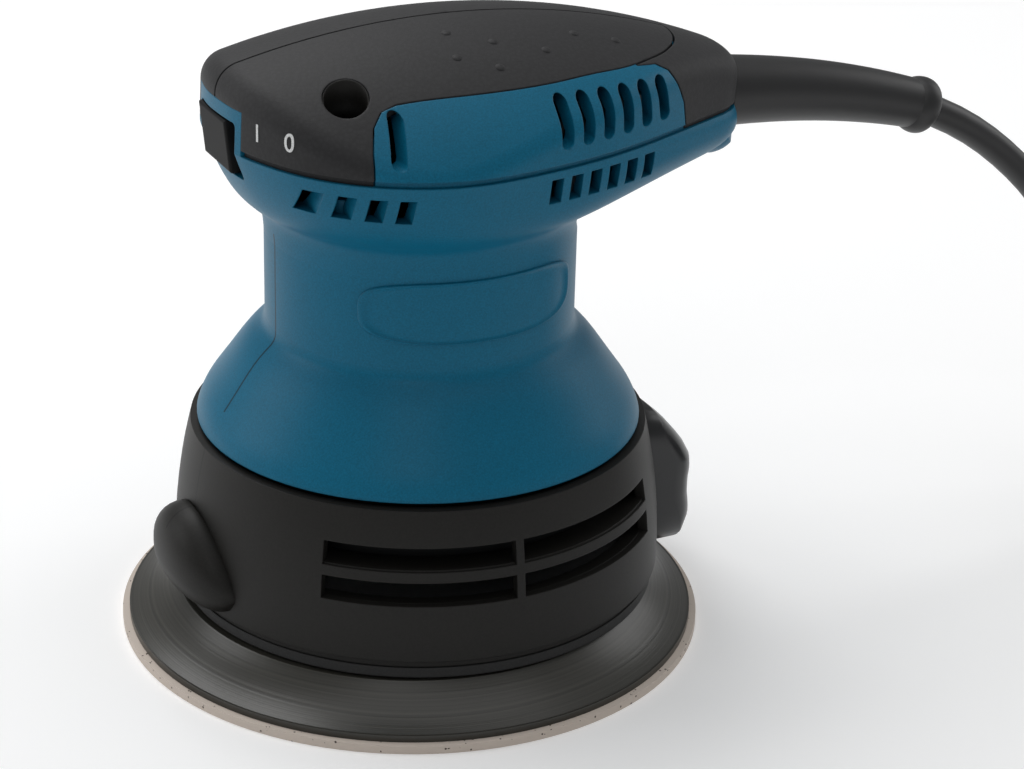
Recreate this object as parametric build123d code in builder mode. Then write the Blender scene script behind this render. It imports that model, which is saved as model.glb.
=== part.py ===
from build123d import *
from math import atan2, cos, hypot, pi, radians, sin, sqrt, tan
import os

os.makedirs("parts", exist_ok=True)

# Palm-held random orbit sander, in millimetres. The motor axis is the Z axis, the floor
# under the sanding disc is z = 0, and the switch points to -X and the cord to +X.

# Fits
running_fit = 0.05
seat_gap = 0.05
free_gap = 0.3

# Orbit and sanding end
orbit_offset = 1.4
disc_radius = 62.5
disc_thickness = 1.8
dust_hole_radius = 5.0
dust_hole_circle = 32.5
dust_hole_count = 8
pad_radius = 61.0
pad_rim = 1.5
pad_rim_step = 0.4
pad_height = 8.0
pad_top_radius = 50.5
pad_flare_middle = (55.2, 6.0)
pad_recess_radius = 12.0
plate_radius = 46.0
plate_thickness = 2.5
spindle_flange_radius = 9.5
spindle_flange_height = 2.6
pad_bolt_radius = 2.5
pad_bolt_length = 11.0
pad_bolt_head_radius = 5.0
pad_bolt_head_height = 4.0
pad_bolt_socket = 5.0
pad_washer_radius = 8.0
pad_washer_height = 1.2

# Rolling bearings: bore radius, outer radius, width, ball radius
pad_bearing_size = (6.0, 14.0, 8.0, 2.4)
lower_bearing_size = (5.0, 13.0, 8.0, 2.4)
upper_bearing_size = (4.0, 11.0, 7.0, 2.0)
bearing_ball_count = 9

# Eccentric hub, dust fan and counterweight
hub_wall = 3.0
hub_web = 2.4
hub_neck_radius = 9.0
hub_neck_height = 7.0
dust_fan_radius = 40.0
dust_fan_blades = 12
dust_fan_plate = 1.4
blade_thickness = 1.3
counterweight_radius = 32.0
counterweight_angle = 140.0
counterweight_height = 5.0

# Skirt, as radii at heights above the floor
skirt_bottom = 12.8
skirt_groove_top = 14.6
skirt_bottom_radius = 52.0
skirt_waist_height = 31.0
skirt_waist_radius = 51.2
skirt_top = 46.6
skirt_top_radius = 48.3
skirt_wall = 2.2
skirt_groove_depth = 1.3
skirt_flange_drop = 2.2
skirt_flange = 2.0
vent_bottom = 27.0
vent_height = 5.0
vent_bar = 2.2
vent_angle = 45.0
vent_split = 2.0
brake_ring_height = 2.2
boss_reach = 56.0
boss_half_width = 12.0
boss_height = 7.0
boss_middle = 24.6
boss_root = 50.5
baffle_height = 24.6
baffle_thickness = 1.6
baffle_bore = 22.0
nozzle_end = 61.0

nozzle_width = 24.0
nozzle_wall = 2.2
hood_profile = [(44, 44.4), (45.0, 43.4), (51.2, 38.0), (54.4, 34.2), (56.5, 31.4), (58.0, 28.2), (58.4, 24.0),
                (58.2, 19.4), (56.4, 16.2), (53.6, 14.4), (50.0, 13.8), (44, 13.8)]
hood_hollow = [(40, 36.0), (49, 36.0), (52.5, 32.5), (54.8, 29.4), (56.0, 26), (56.0, 18), (40, 18)]
outlet_height = 23.2
outlet_start = 54.0
outlet_radius = 7.8
outlet_bore = 6.2

# Motor housing: bell, neck and collar inside the skirt
collar_bottom = 34.5
collar_radius = 44.2
collar_wall = 2.6
bell_bottom = 47.7
bell_radius = 46.9
bell_bulge_radius = 42.2
bell_bulge_height = 56.5
bell_top_radius = 34.6
bell_top = 66.2
neck_radius = 32.4
neck_blend_top = 70.0
neck_top = 89.0
housing_wall = 2.6
tail_radius = 13.2
tail_length = 18.0
tail_end = 19.0
tail_fillet = 4.5
post_radius = 5.0
post_height = 14.0

# Head: the ledge plane between the lower housing and the handle shell dips to the rear
ledge_height = 111.3
ledge_tilt = 2.35
head_outline = [(-45.0, 0), (-44.2, 9), (-41.8, 16.5), (-36.5, 26), (-26, 35), (-11, 39.8),
                (8, 37.6), (28, 31.3), (48, 21.6), (61, 14.6), (68.5, 9.0), (70.5, 0)]
crown_front = (-52.0, 11.7)
crown_peak = (8.0, 22.5)
crown_rear = (76.0, 8.7)
crown_roll = 51.0
crown_fillet = 6.0
skin_thickness = 1.6
shell_wall = 2.4
ledge_groove = 0.8
ledge_groove_height = 1.2
flare_sections = [(4.0, 0.04, 0.02), (8.0, 0.26, 0.52), (12.0, 0.58, 0.94)]
deck_thickness = 2.4
deck_inset = 7.0
deck_front = -37.0
deck_rear = 50.0
grip_front = [(-27.5, 60), (-26.2, 36), (-25.4, 33.0), (-23.6, 29.0), (-21.0, 26.6), (-17.5, 25.9)]
grip_edge = [(-17.5, 25.9), (-12.9, 26.3), (-4.1, 27.1), (8.4, 27.2), (17.7, 26.1), (26.1, 24.2), (35.4, 21.6),
             (41.5, 18.6), (45.8, 16.0), (49.3, 13.0), (52.2, 9.6), (54.2, 5.4), (55.0, 0)]
cap_edge = [(50.6, -3), (50.4, 0.6), (49.0, 6.3), (46.4, 10.9), (44.6, 13.5), (42.0, 14.7), (37.0, 15.1)]
seam_gap = 0.5
panel_gap = 0.3

# Switch
frame_half_width = 11.0
frame_top = 122.0
opening_half_width = 9.0
opening_bottom = 107.2
opening_top = 119.2
lever_width = 14.2
lever_travel = 3.2
lever_depth = 6.4
lever_front = -44.9
lever_lean = 1.2
switch_body_size = (14.0, 18.0, 12.0)

# Motor
shaft_radius = 5.0
shaft_top_radius = 4.0
armature_radius = 16.0
armature_bottom = 64.0
armature_length = 28.0
armature_slots = 12
winding_radius = 14.0
winding_overhang = 4.5
air_gap = 0.6
commutator_radius = 9.0
commutator_bottom = 98.0
commutator_length = 8.6
commutator_bars = 24
field_overhang = 5.5
cooling_fan_bottom = 48.4
cooling_fan_height = 7.6
cooling_fan_radius = 31.0
cooling_fan_blades = 14
brush_section = (5.0, 8.0)
brush_length = 13.0
brush_wall = 1.0
holder_end = 28.0
holder_start = 10.6
spring_radius = 1.6
spring_wire = 0.4
wire_radius = 0.9
sleeve_wall = 1.9
upper_bearing_base = 109.6
lower_bearing_base = 38.0

# Fasteners
screw_radius = 2.0
screw_head_radius = 3.6
screw_head_height = 2.6
screw_length = 14.0
lug_circle = 37.4
lug_radius = 4.6
lug_angles = (30, 150, 210, 330)
housing_screw_length = 18.4
screw_tip_room = 0.6
well_radius = 4.6
well_places = [(-26.0, -21.4), (-26.0, 21.4), (45.0, 12.5)]
well_floor = 118.2

# Slots in the head
slot_width = 3.0
slot_length = 9.4
side_slots_from = (14.9, 8.8)
side_slot_pitch = 5.37
side_slot_leans = [3.4, 1.2, -2.0, -6.0, -10.5, -14.5]
front_slot = (-20.2, 7.7, 16.0)
low_slot_pitch = 5.1
low_slot_height = 5.2
low_front_slots = (-34.7, 4, 2.8)
low_rear_slots = (12.9, 6, 1.7)

# Cord
cord_radius = 3.5
guard_base_radius = 7.7
guard_tip_radius = 5.6
guard_bulb_radius = 6.3
guard_length = 51.0
guard_flange_radius = 6.6
coil_mean_radius = 42.0
coil_centre = (212.0, -60.0)
guard_neck_radius = 4.8
guard_neck_length = 8.6
guard_flange_thickness = 2.6
clamp_middle = 55.0
clamp_length = 4.0
clamp_base = 106.8
clamp_reach = 9.2
clamp_screw_y = 6.4
clamp_screw_radius = 1.3
clamp_screw_length = 14.0
plug_chord = 24.0
plug_thickness = 14.0
plug_width = 35.0
plug_length = 36.0
plug_relief = 13.0
pin_radius = 2.0
pin_root_radius = 1.4
pin_spacing = 19.0
pin_length = 19.0
pin_root = 8.0


tilt = radians(ledge_tilt)
ledge_direction = (cos(tilt), 0, -sin(tilt))
head_plane = Plane(origin=(0, 0, ledge_height), x_dir=ledge_direction, z_dir=(sin(tilt), 0, cos(tilt)))
head_side = Plane(origin=(0, 0, ledge_height), x_dir=ledge_direction, z_dir=(0, -1, 0))


def outline_points(inset):
    """Half of the head outline from the front to the rear, moved inwards along its normals."""
    moved = []
    last = len(head_outline) - 1
    for i, (x, y) in enumerate(head_outline):
        if i == 0:
            moved.append((x + inset, 0))
        elif i == last:
            moved.append((x - inset, 0))
        else:
            before, after = head_outline[i - 1], head_outline[i + 1]
            along = (after[0] - before[0], after[1] - before[1])
            length = hypot(*along)
            moved.append((x + inset * along[1] / length, y - inset * along[0] / length))
    return moved


def closed_outline(points):
    """Closed line of a half outline and its mirror image."""
    with BuildLine() as outline:
        other_side = [(x, -y) for x, y in reversed(points[1:-1])]
        Spline(*points, *other_side, periodic=True)
    return outline.line


def blend_outline(share, rear_share, inset):
    """Half outline between the round neck and the head outline."""
    blended = []
    radius = neck_radius - inset
    for x, y in outline_points(inset):
        angle = atan2(y, x)
        rear = (cos(angle) + 1) / 2
        part_share = share + (rear_share - share) * rear**2
        blended.append((radius * cos(angle) * (1 - part_share) + x * part_share,
                        radius * sin(angle) * (1 - part_share) + y * part_share))
    return blended


def dome(inset, fillet_radius):
    """Upper half of the head, its sides and crown moved inwards."""
    with BuildPart() as body:
        with BuildSketch(head_plane):
            make_face(closed_outline(outline_points(inset)).edges())
        extrude(amount=crown_peak[1] + 5)
        with BuildSketch(head_side):
            with BuildLine():
                crown_line = [(x, y - inset) for x, y in (crown_front, crown_peak, crown_rear)]
                crown = ThreePointArc(*crown_line)
                base = crown_peak[1] - crown_roll
                Polyline(crown @ 1, (crown_rear[0], base), (crown_front[0], base), crown @ 0)
            make_face()
        roll_centre = head_side.from_local_coords(Vector(0, crown_peak[1] - crown_roll, 0))
        revolve(axis=Axis(roll_centre, head_plane.x_dir), mode=Mode.INTERSECT)
        top = body.faces().sort_by(Axis.Z)[-1]
        if fillet_radius > 0:
            fillet(top.edges(), fillet_radius)
    return body.part


def lower_head(inset):
    """Head below the ledge, from the neck to the head outline."""
    with BuildPart() as body:
        with BuildSketch(Plane.XY.offset(neck_top + inset)):
            Circle(neck_radius - inset)
        for height, share, rear_share in flare_sections:
            with BuildSketch(Plane.XY.offset(neck_top + height + inset)):
                make_face(closed_outline(blend_outline(share, rear_share, inset)).edges())
        with BuildSketch(head_plane):
            make_face(closed_outline(outline_points(inset)).edges())
        loft()
    return body.part

motor_axis = Axis((0, 0, 0), (0, 0, 1))
pad_axis = Axis((-orbit_offset, 0, 0), (0, 0, 1))
pad_section = Plane(origin=(-orbit_offset, 0, 0), x_dir=(1, 0, 0), z_dir=(0, -1, 0))


def pad_level(height):
    """Level plane centred on the pad axis."""
    return Plane(origin=(-orbit_offset, 0, height))


def level(height):
    """Level plane centred on the motor axis."""
    return Plane(origin=(0, 0, height))


# Heights that follow from the sizes above
pad_base = disc_thickness
pad_top = pad_base + pad_height
plate_top = pad_top + plate_thickness
pad_bearing_base = plate_top + spindle_flange_height
pad_bearing_top = pad_bearing_base + pad_bearing_size[2]
hub_web_base = pad_bearing_top + free_gap
hub_web_top = hub_web_base + hub_web
cup_radius = pad_bearing_size[1] + seat_gap + hub_wall
fan_plate_top = hub_web_base + free_gap
collar_bore = collar_radius - collar_wall
neck_bore = neck_radius - housing_wall
deck_top = upper_bearing_base - seat_gap
deck_base = deck_top - deck_thickness
brush_middle = deck_base - seat_gap - brush_section[1] / 2 - running_fit - brush_wall
armature_top = armature_bottom + armature_length
shaft_step = upper_bearing_base - 1.0

# Sanding disc
with BuildPart() as sanding_disc:
    with BuildSketch(pad_level(0)):
        Circle(disc_radius)
        with PolarLocations(dust_hole_circle, dust_hole_count):
            Circle(dust_hole_radius, mode=Mode.SUBTRACT)
    extrude(amount=disc_thickness)
sanding_disc.part.label = "sanding_disc"
export_step(sanding_disc.part, "parts/sanding_disc.step")

# Sanding pad, flared like a trumpet towards the disc
with BuildPart() as sanding_pad:
    with BuildSketch(pad_section):
        with BuildLine():
            rim_top = pad_base + pad_rim
            flare_start = (pad_radius - pad_rim_step, rim_top)
            flare_end = (pad_top_radius, pad_top)
            Polyline(flare_end, (pad_recess_radius, pad_top), (pad_recess_radius, pad_base),
                     (pad_radius, pad_base), (pad_radius, rim_top), flare_start)
            ThreePointArc(flare_start, pad_flare_middle, flare_end)
        make_face()
    revolve(axis=pad_axis)
    with BuildSketch(pad_level(pad_base)):
        with PolarLocations(dust_hole_circle, dust_hole_count):
            Circle(dust_hole_radius)
    extrude(amount=pad_height, mode=Mode.SUBTRACT)
sanding_pad.part.label = "sanding_pad"
export_step(sanding_pad.part, "parts/sanding_pad.step")

# Steel backing plate in the top of the pad
with BuildPart() as pad_plate:
    with BuildSketch(pad_level(pad_top)):
        Circle(plate_radius)
        Circle(pad_bolt_radius + seat_gap, mode=Mode.SUBTRACT)
        with PolarLocations(dust_hole_circle, dust_hole_count):
            Circle(dust_hole_radius, mode=Mode.SUBTRACT)
    extrude(amount=plate_thickness)
pad_plate.part.label = "pad_plate"
export_step(pad_plate.part, "parts/pad_plate.step")

# Spindle that carries the pad in its bearing
with BuildPart() as pad_spindle:
    with BuildSketch(pad_level(plate_top)):
        Circle(spindle_flange_radius)
    extrude(amount=spindle_flange_height)
    with BuildSketch(pad_level(pad_bearing_base)):
        Circle(pad_bearing_size[0])
    extrude(amount=pad_bearing_size[2])
    with BuildSketch(pad_level(plate_top)):
        Circle(pad_bolt_radius + seat_gap)
    extrude(amount=pad_bolt_length - plate_thickness - pad_washer_height + free_gap, mode=Mode.SUBTRACT)
    chamfer(pad_spindle.edges().sort_by(Axis.Z)[-1], 0.6)
pad_spindle.part.label = "pad_spindle"
export_step(pad_spindle.part, "parts/pad_spindle.step")

# Pad bolt with a hexagon socket, and its washer
with BuildPart() as pad_bolt:
    with BuildSketch(pad_level(pad_top - pad_washer_height)):
        Circle(pad_bolt_radius)
    extrude(amount=pad_bolt_length)
    with BuildSketch(pad_level(pad_top - pad_washer_height)):
        Circle(pad_bolt_head_radius)
    extrude(amount=-pad_bolt_head_height)
    with BuildSketch(pad_level(pad_top - pad_washer_height - pad_bolt_head_height)):
        RegularPolygon(pad_bolt_socket / 2, 6)
    extrude(amount=pad_bolt_head_height * 0.6, mode=Mode.SUBTRACT)
pad_bolt.part.label = "pad_bolt"
export_step(pad_bolt.part, "parts/pad_bolt.step")

with BuildPart() as pad_washer:
    with BuildSketch(pad_level(pad_top - pad_washer_height)):
        Circle(pad_washer_radius)
        Circle(pad_bolt_radius + seat_gap, mode=Mode.SUBTRACT)
    extrude(amount=pad_washer_height)
pad_washer.part.label = "pad_washer"
export_step(pad_washer.part, "parts/pad_washer.step")


def bearing(centre_x, base, size):
    """Inner ring, outer ring and balls of a deep groove ball bearing."""
    bore, outside, width, ball = size
    pitch = (bore + outside) / 2
    land = ball * 0.55
    middle = base + width / 2
    floor = Plane(origin=(centre_x, 0, base))
    section = Plane(origin=(centre_x, 0, 0), x_dir=(1, 0, 0), z_dir=(0, -1, 0))
    axis = Axis((centre_x, 0, 0), (0, 0, 1))
    with BuildPart() as inner:
        with BuildSketch(floor):
            Circle(pitch - land)
            Circle(bore, mode=Mode.SUBTRACT)
        extrude(amount=width)
        with BuildSketch(section):
            with Locations((pitch, middle)):
                Circle(ball + running_fit)
        revolve(axis=axis, mode=Mode.SUBTRACT)
    with BuildPart() as outer:
        with BuildSketch(floor):
            Circle(outside)
            Circle(pitch + land, mode=Mode.SUBTRACT)
        extrude(amount=width)
        with BuildSketch(section):
            with Locations((pitch, middle)):
                Circle(ball + running_fit)
        revolve(axis=axis, mode=Mode.SUBTRACT)
    with BuildPart(Plane(origin=(centre_x, 0, middle))) as balls:
        with PolarLocations(pitch, bearing_ball_count):
            Sphere(ball)
    return inner, outer, balls


pad_rings = bearing(-orbit_offset, pad_bearing_base, pad_bearing_size)
pad_bearing_inner, pad_bearing_outer, pad_bearing_balls = pad_rings
pad_bearing_inner.part.label = "pad_bearing_inner"
export_step(pad_bearing_inner.part, "parts/pad_bearing_inner.step")
pad_bearing_outer.part.label = "pad_bearing_outer"
export_step(pad_bearing_outer.part, "parts/pad_bearing_outer.step")
pad_bearing_balls.part.label = "pad_bearing_balls"
export_step(pad_bearing_balls.part, "parts/pad_bearing_balls.step")

lower_rings = bearing(0, lower_bearing_base, lower_bearing_size)
lower_bearing_inner, lower_bearing_outer, lower_bearing_balls = lower_rings
lower_bearing_inner.part.label = "lower_bearing_inner"
export_step(lower_bearing_inner.part, "parts/lower_bearing_inner.step")
lower_bearing_outer.part.label = "lower_bearing_outer"
export_step(lower_bearing_outer.part, "parts/lower_bearing_outer.step")
lower_bearing_balls.part.label = "lower_bearing_balls"
export_step(lower_bearing_balls.part, "parts/lower_bearing_balls.step")

upper_rings = bearing(0, upper_bearing_base, upper_bearing_size)
upper_bearing_inner, upper_bearing_outer, upper_bearing_balls = upper_rings
upper_bearing_inner.part.label = "upper_bearing_inner"
export_step(upper_bearing_inner.part, "parts/upper_bearing_inner.step")
upper_bearing_outer.part.label = "upper_bearing_outer"
export_step(upper_bearing_outer.part, "parts/upper_bearing_outer.step")
upper_bearing_balls.part.label = "upper_bearing_balls"
export_step(upper_bearing_balls.part, "parts/upper_bearing_balls.step")

# Eccentric hub: a cup around the pad bearing below, a neck on the motor shaft above
with BuildPart() as eccentric_hub:
    with BuildSketch(pad_level(pad_bearing_base + free_gap)):
        Circle(cup_radius)
    extrude(amount=hub_web_top - pad_bearing_base - free_gap)
    with BuildSketch(level(hub_web_top)):
        Circle(hub_neck_radius)
    extrude(amount=hub_neck_height)
    with BuildSketch(pad_level(pad_bearing_base)):
        Circle(pad_bearing_size[1] + seat_gap)
    extrude(amount=hub_web_base - pad_bearing_base, mode=Mode.SUBTRACT)
    with BuildSketch(level(hub_web_top)):
        Circle(shaft_radius)
    extrude(amount=hub_neck_height, mode=Mode.SUBTRACT)
eccentric_hub.part.label = "eccentric_hub"
export_step(eccentric_hub.part, "parts/eccentric_hub.step")

# Dust fan around the hub, blades below its plate
blade_base = pad_bearing_base + free_gap
blade_height = fan_plate_top - dust_fan_plate - blade_base
with BuildPart() as dust_fan:
    with BuildSketch(level(fan_plate_top - dust_fan_plate)):
        Circle(dust_fan_radius)
    extrude(amount=dust_fan_plate)
    with BuildSketch(pad_level(blade_base)):
        Circle(cup_radius + seat_gap + 1.8)
    extrude(amount=fan_plate_top - blade_base)
    blade_length = dust_fan_radius - cup_radius - 1.5
    with BuildSketch(level(blade_base)):
        with PolarLocations(cup_radius + 1.0 + blade_length / 2, dust_fan_blades):
            Rectangle(blade_length, blade_thickness, rotation=18)
    extrude(amount=blade_height)
    with BuildSketch(pad_level(blade_base)):
        Circle(cup_radius + seat_gap)
    extrude(amount=fan_plate_top - blade_base, mode=Mode.SUBTRACT)
dust_fan.part.label = "dust_fan"
export_step(dust_fan.part, "parts/dust_fan.step")

# Counterweight on the hub neck, opposite the pad axis
counterweight_base = baffle_height + baffle_thickness + 1.2
with BuildPart() as counterweight:
    with BuildSketch(level(counterweight_base)):
        Circle(hub_neck_radius + 4)
        with BuildLine():
            half = radians(counterweight_angle / 2)
            corner = (counterweight_radius * cos(half), counterweight_radius * sin(half))
            other = (corner[0], -corner[1])
            ThreePointArc(corner, (counterweight_radius, 0), other)
            Polyline(other, (0, 0), corner)
        make_face()
        Circle(hub_neck_radius + seat_gap, mode=Mode.SUBTRACT)
    extrude(amount=counterweight_height)
counterweight.part.label = "counterweight"
export_step(counterweight.part, "parts/counterweight.step")

# Motor shaft
with BuildPart() as rotor_shaft:
    with BuildSketch(level(hub_web_top)):
        Circle(shaft_radius)
    extrude(amount=shaft_step - hub_web_top)
    with BuildSketch(level(shaft_step)):
        Circle(shaft_top_radius)
    extrude(amount=upper_bearing_base + upper_bearing_size[2] + 0.8 - shaft_step)
rotor_shaft.part.label = "rotor_shaft"
export_step(rotor_shaft.part, "parts/rotor_shaft.step")

# Armature core with straight slots
slot_width_core = 2.2
slot_depth_core = 5.0
with BuildPart() as armature_core:
    with BuildSketch(level(armature_bottom)):
        Circle(armature_radius)
        Circle(shaft_radius, mode=Mode.SUBTRACT)
        with PolarLocations(armature_radius - slot_depth_core / 2, armature_slots):
            Rectangle(slot_depth_core, slot_width_core, mode=Mode.SUBTRACT)
    extrude(amount=armature_length)
armature_core.part.label = "armature_core"
export_step(armature_core.part, "parts/armature_core.step")

# Winding: a ring at each end of the core, joined through the slots
with BuildPart() as armature_winding:
    for base in (armature_bottom - winding_overhang, armature_top):
        with BuildSketch(level(base)):
            Circle(winding_radius)
            Circle(shaft_radius + 1.2, mode=Mode.SUBTRACT)
        extrude(amount=winding_overhang)
    fill_depth = slot_depth_core - (armature_radius - winding_radius) - seat_gap
    with BuildSketch(level(armature_bottom - winding_overhang / 2)):
        with PolarLocations(winding_radius - fill_depth / 2, armature_slots):
            Rectangle(fill_depth, slot_width_core - 2 * seat_gap)
    extrude(amount=armature_length + winding_overhang)
armature_winding.part.label = "armature_winding"
export_step(armature_winding.part, "parts/armature_winding.step")

# Commutator with grooves between its bars
with BuildPart() as commutator:
    with BuildSketch(level(commutator_bottom)):
        Circle(commutator_radius)
        Circle(shaft_radius, mode=Mode.SUBTRACT)
        with PolarLocations(commutator_radius, commutator_bars):
            Rectangle(1.2, 0.4, mode=Mode.SUBTRACT)
    extrude(amount=commutator_length)
commutator.part.label = "commutator"
export_step(commutator.part, "parts/commutator.step")

# Cooling fan in the bell
fan_plate = 1.5
with BuildPart() as cooling_fan:
    with BuildSketch(level(cooling_fan_bottom)):
        Circle(cooling_fan_radius)
        Circle(shaft_radius, mode=Mode.SUBTRACT)
    extrude(amount=fan_plate)
    with BuildSketch(level(cooling_fan_bottom)):
        Circle(shaft_radius + 4)
        Circle(shaft_radius, mode=Mode.SUBTRACT)
    extrude(amount=cooling_fan_height)
    vane_length = cooling_fan_radius * 0.55
    with BuildSketch(level(cooling_fan_bottom)):
        with PolarLocations(cooling_fan_radius - vane_length / 2 - 0.5, cooling_fan_blades):
            Rectangle(vane_length, blade_thickness)
    extrude(amount=cooling_fan_height)
cooling_fan.part.label = "cooling_fan"
export_step(cooling_fan.part, "parts/cooling_fan.step")

# Field core pressed into the neck, two poles on the X axis
pole_bore = armature_radius + air_gap
yoke_radius = neck_bore - seat_gap
yoke_bore = yoke_radius - 4.6
pole_angle = 50.0
coil_angle = 64.0


def sector(radius, half_angle, facing):
    """Pie-shaped outline around the motor axis, for use inside a sketch."""
    with BuildLine() as edge:
        start = facing - half_angle
        middle = (radius * cos(radians(facing)), radius * sin(radians(facing)))
        first = (radius * cos(radians(start)), radius * sin(radians(start)))
        last = (radius * cos(radians(facing + half_angle)), radius * sin(radians(facing + half_angle)))
        ThreePointArc(first, middle, last)
        Polyline(last, (0, 0), first)
    return edge.line


with BuildPart() as field_core:
    with BuildSketch(level(armature_bottom)):
        Circle(yoke_radius)
        Circle(yoke_bore, mode=Mode.SUBTRACT)
        for facing in (0, 180):
            make_face(sector(yoke_bore + 1, pole_angle, facing).edges())
        Circle(pole_bore, mode=Mode.SUBTRACT)
    extrude(amount=armature_length)
field_core.part.label = "field_core"
export_step(field_core.part, "parts/field_core.step")

# Field coils around the poles
with BuildPart() as field_coils:
    with BuildSketch(level(armature_bottom - field_overhang)):
        for facing in (0, 180):
            make_face(sector(yoke_bore - seat_gap, coil_angle, facing).edges())
        Circle(pole_bore + 0.8, mode=Mode.SUBTRACT)
    extrude(amount=armature_length + 2 * field_overhang)
    with BuildSketch(level(armature_bottom)):
        for facing in (0, 180):
            make_face(sector(yoke_radius, pole_angle + 0.2, facing).edges())
    extrude(amount=armature_length, mode=Mode.SUBTRACT)
field_coils.part.label = "field_coils"
export_step(field_coils.part, "parts/field_coils.step")

# Lower bearing bracket: hub, four spokes, rim inside the collar and screw lugs
bracket_base = lower_bearing_base - 1.4
bracket_rim = collar_bore - seat_gap
spoke_height = 5.0


def around(radius, angles):
    """Points on a circle around the motor axis."""
    return [(radius * cos(radians(a)), radius * sin(radians(a))) for a in angles]


with BuildPart() as bearing_bracket:
    with BuildSketch(level(bracket_base)):
        Circle(lower_bearing_size[1] + 3)
    extrude(amount=lower_bearing_size[2] + 1.4)
    with BuildSketch(level(bracket_base)):
        Circle(bracket_rim)
        Circle(bracket_rim - 3, mode=Mode.SUBTRACT)
        for angle in lug_angles:
            with Locations(Rotation(0, 0, angle)):
                with Locations((bracket_rim / 2, 0)):
                    Rectangle(bracket_rim - 2, 7)
    extrude(amount=spoke_height)
    with BuildSketch(level(collar_bottom)):
        with Locations(*around(lug_circle, lug_angles)):
            Circle(lug_radius)
    extrude(amount=bracket_base + spoke_height - collar_bottom)
    with BuildSketch(level(lower_bearing_base)):
        Circle(lower_bearing_size[1] + seat_gap)
    extrude(amount=lower_bearing_size[2] + 1, mode=Mode.SUBTRACT)
    with BuildSketch(level(collar_bottom)):
        Circle(lower_bearing_size[1] - 3.5)
        with Locations(*around(lug_circle, lug_angles)):
            Circle(screw_radius + seat_gap)
    extrude(amount=lower_bearing_size[2] + 8, mode=Mode.SUBTRACT)
    with BuildSketch(level(collar_bottom)):
        Circle(bracket_rim)
    extrude(amount=lower_bearing_size[2] + 8, mode=Mode.INTERSECT)
bearing_bracket.part.label = "bearing_bracket"
export_step(bearing_bracket.part, "parts/bearing_bracket.step")

# Screw in a lug or post, pointing up, head at the bottom
def screw_up(places, base, length):
    """Cylinder-head screws whose heads end at the base height."""
    with BuildPart() as screws:
        with BuildSketch(level(base - screw_head_height)):
            with Locations(*places):
                Circle(screw_head_radius)
        extrude(amount=screw_head_height)
        with BuildSketch(level(base)):
            with Locations(*places):
                Circle(screw_radius)
        extrude(amount=length)
        with BuildSketch(level(base - screw_head_height)):
            with Locations(*places):
                RegularPolygon(screw_head_radius * 0.5, 6)
        extrude(amount=screw_head_height * 0.5, mode=Mode.SUBTRACT)
    return screws


skirt_lug_base = collar_bottom - seat_gap - skirt_flange
bracket_screws = screw_up(around(lug_circle, lug_angles), skirt_lug_base, screw_length)
bracket_screws.part.label = "bracket_screws"
export_step(bracket_screws.part, "parts/bracket_screws.step")

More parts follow.
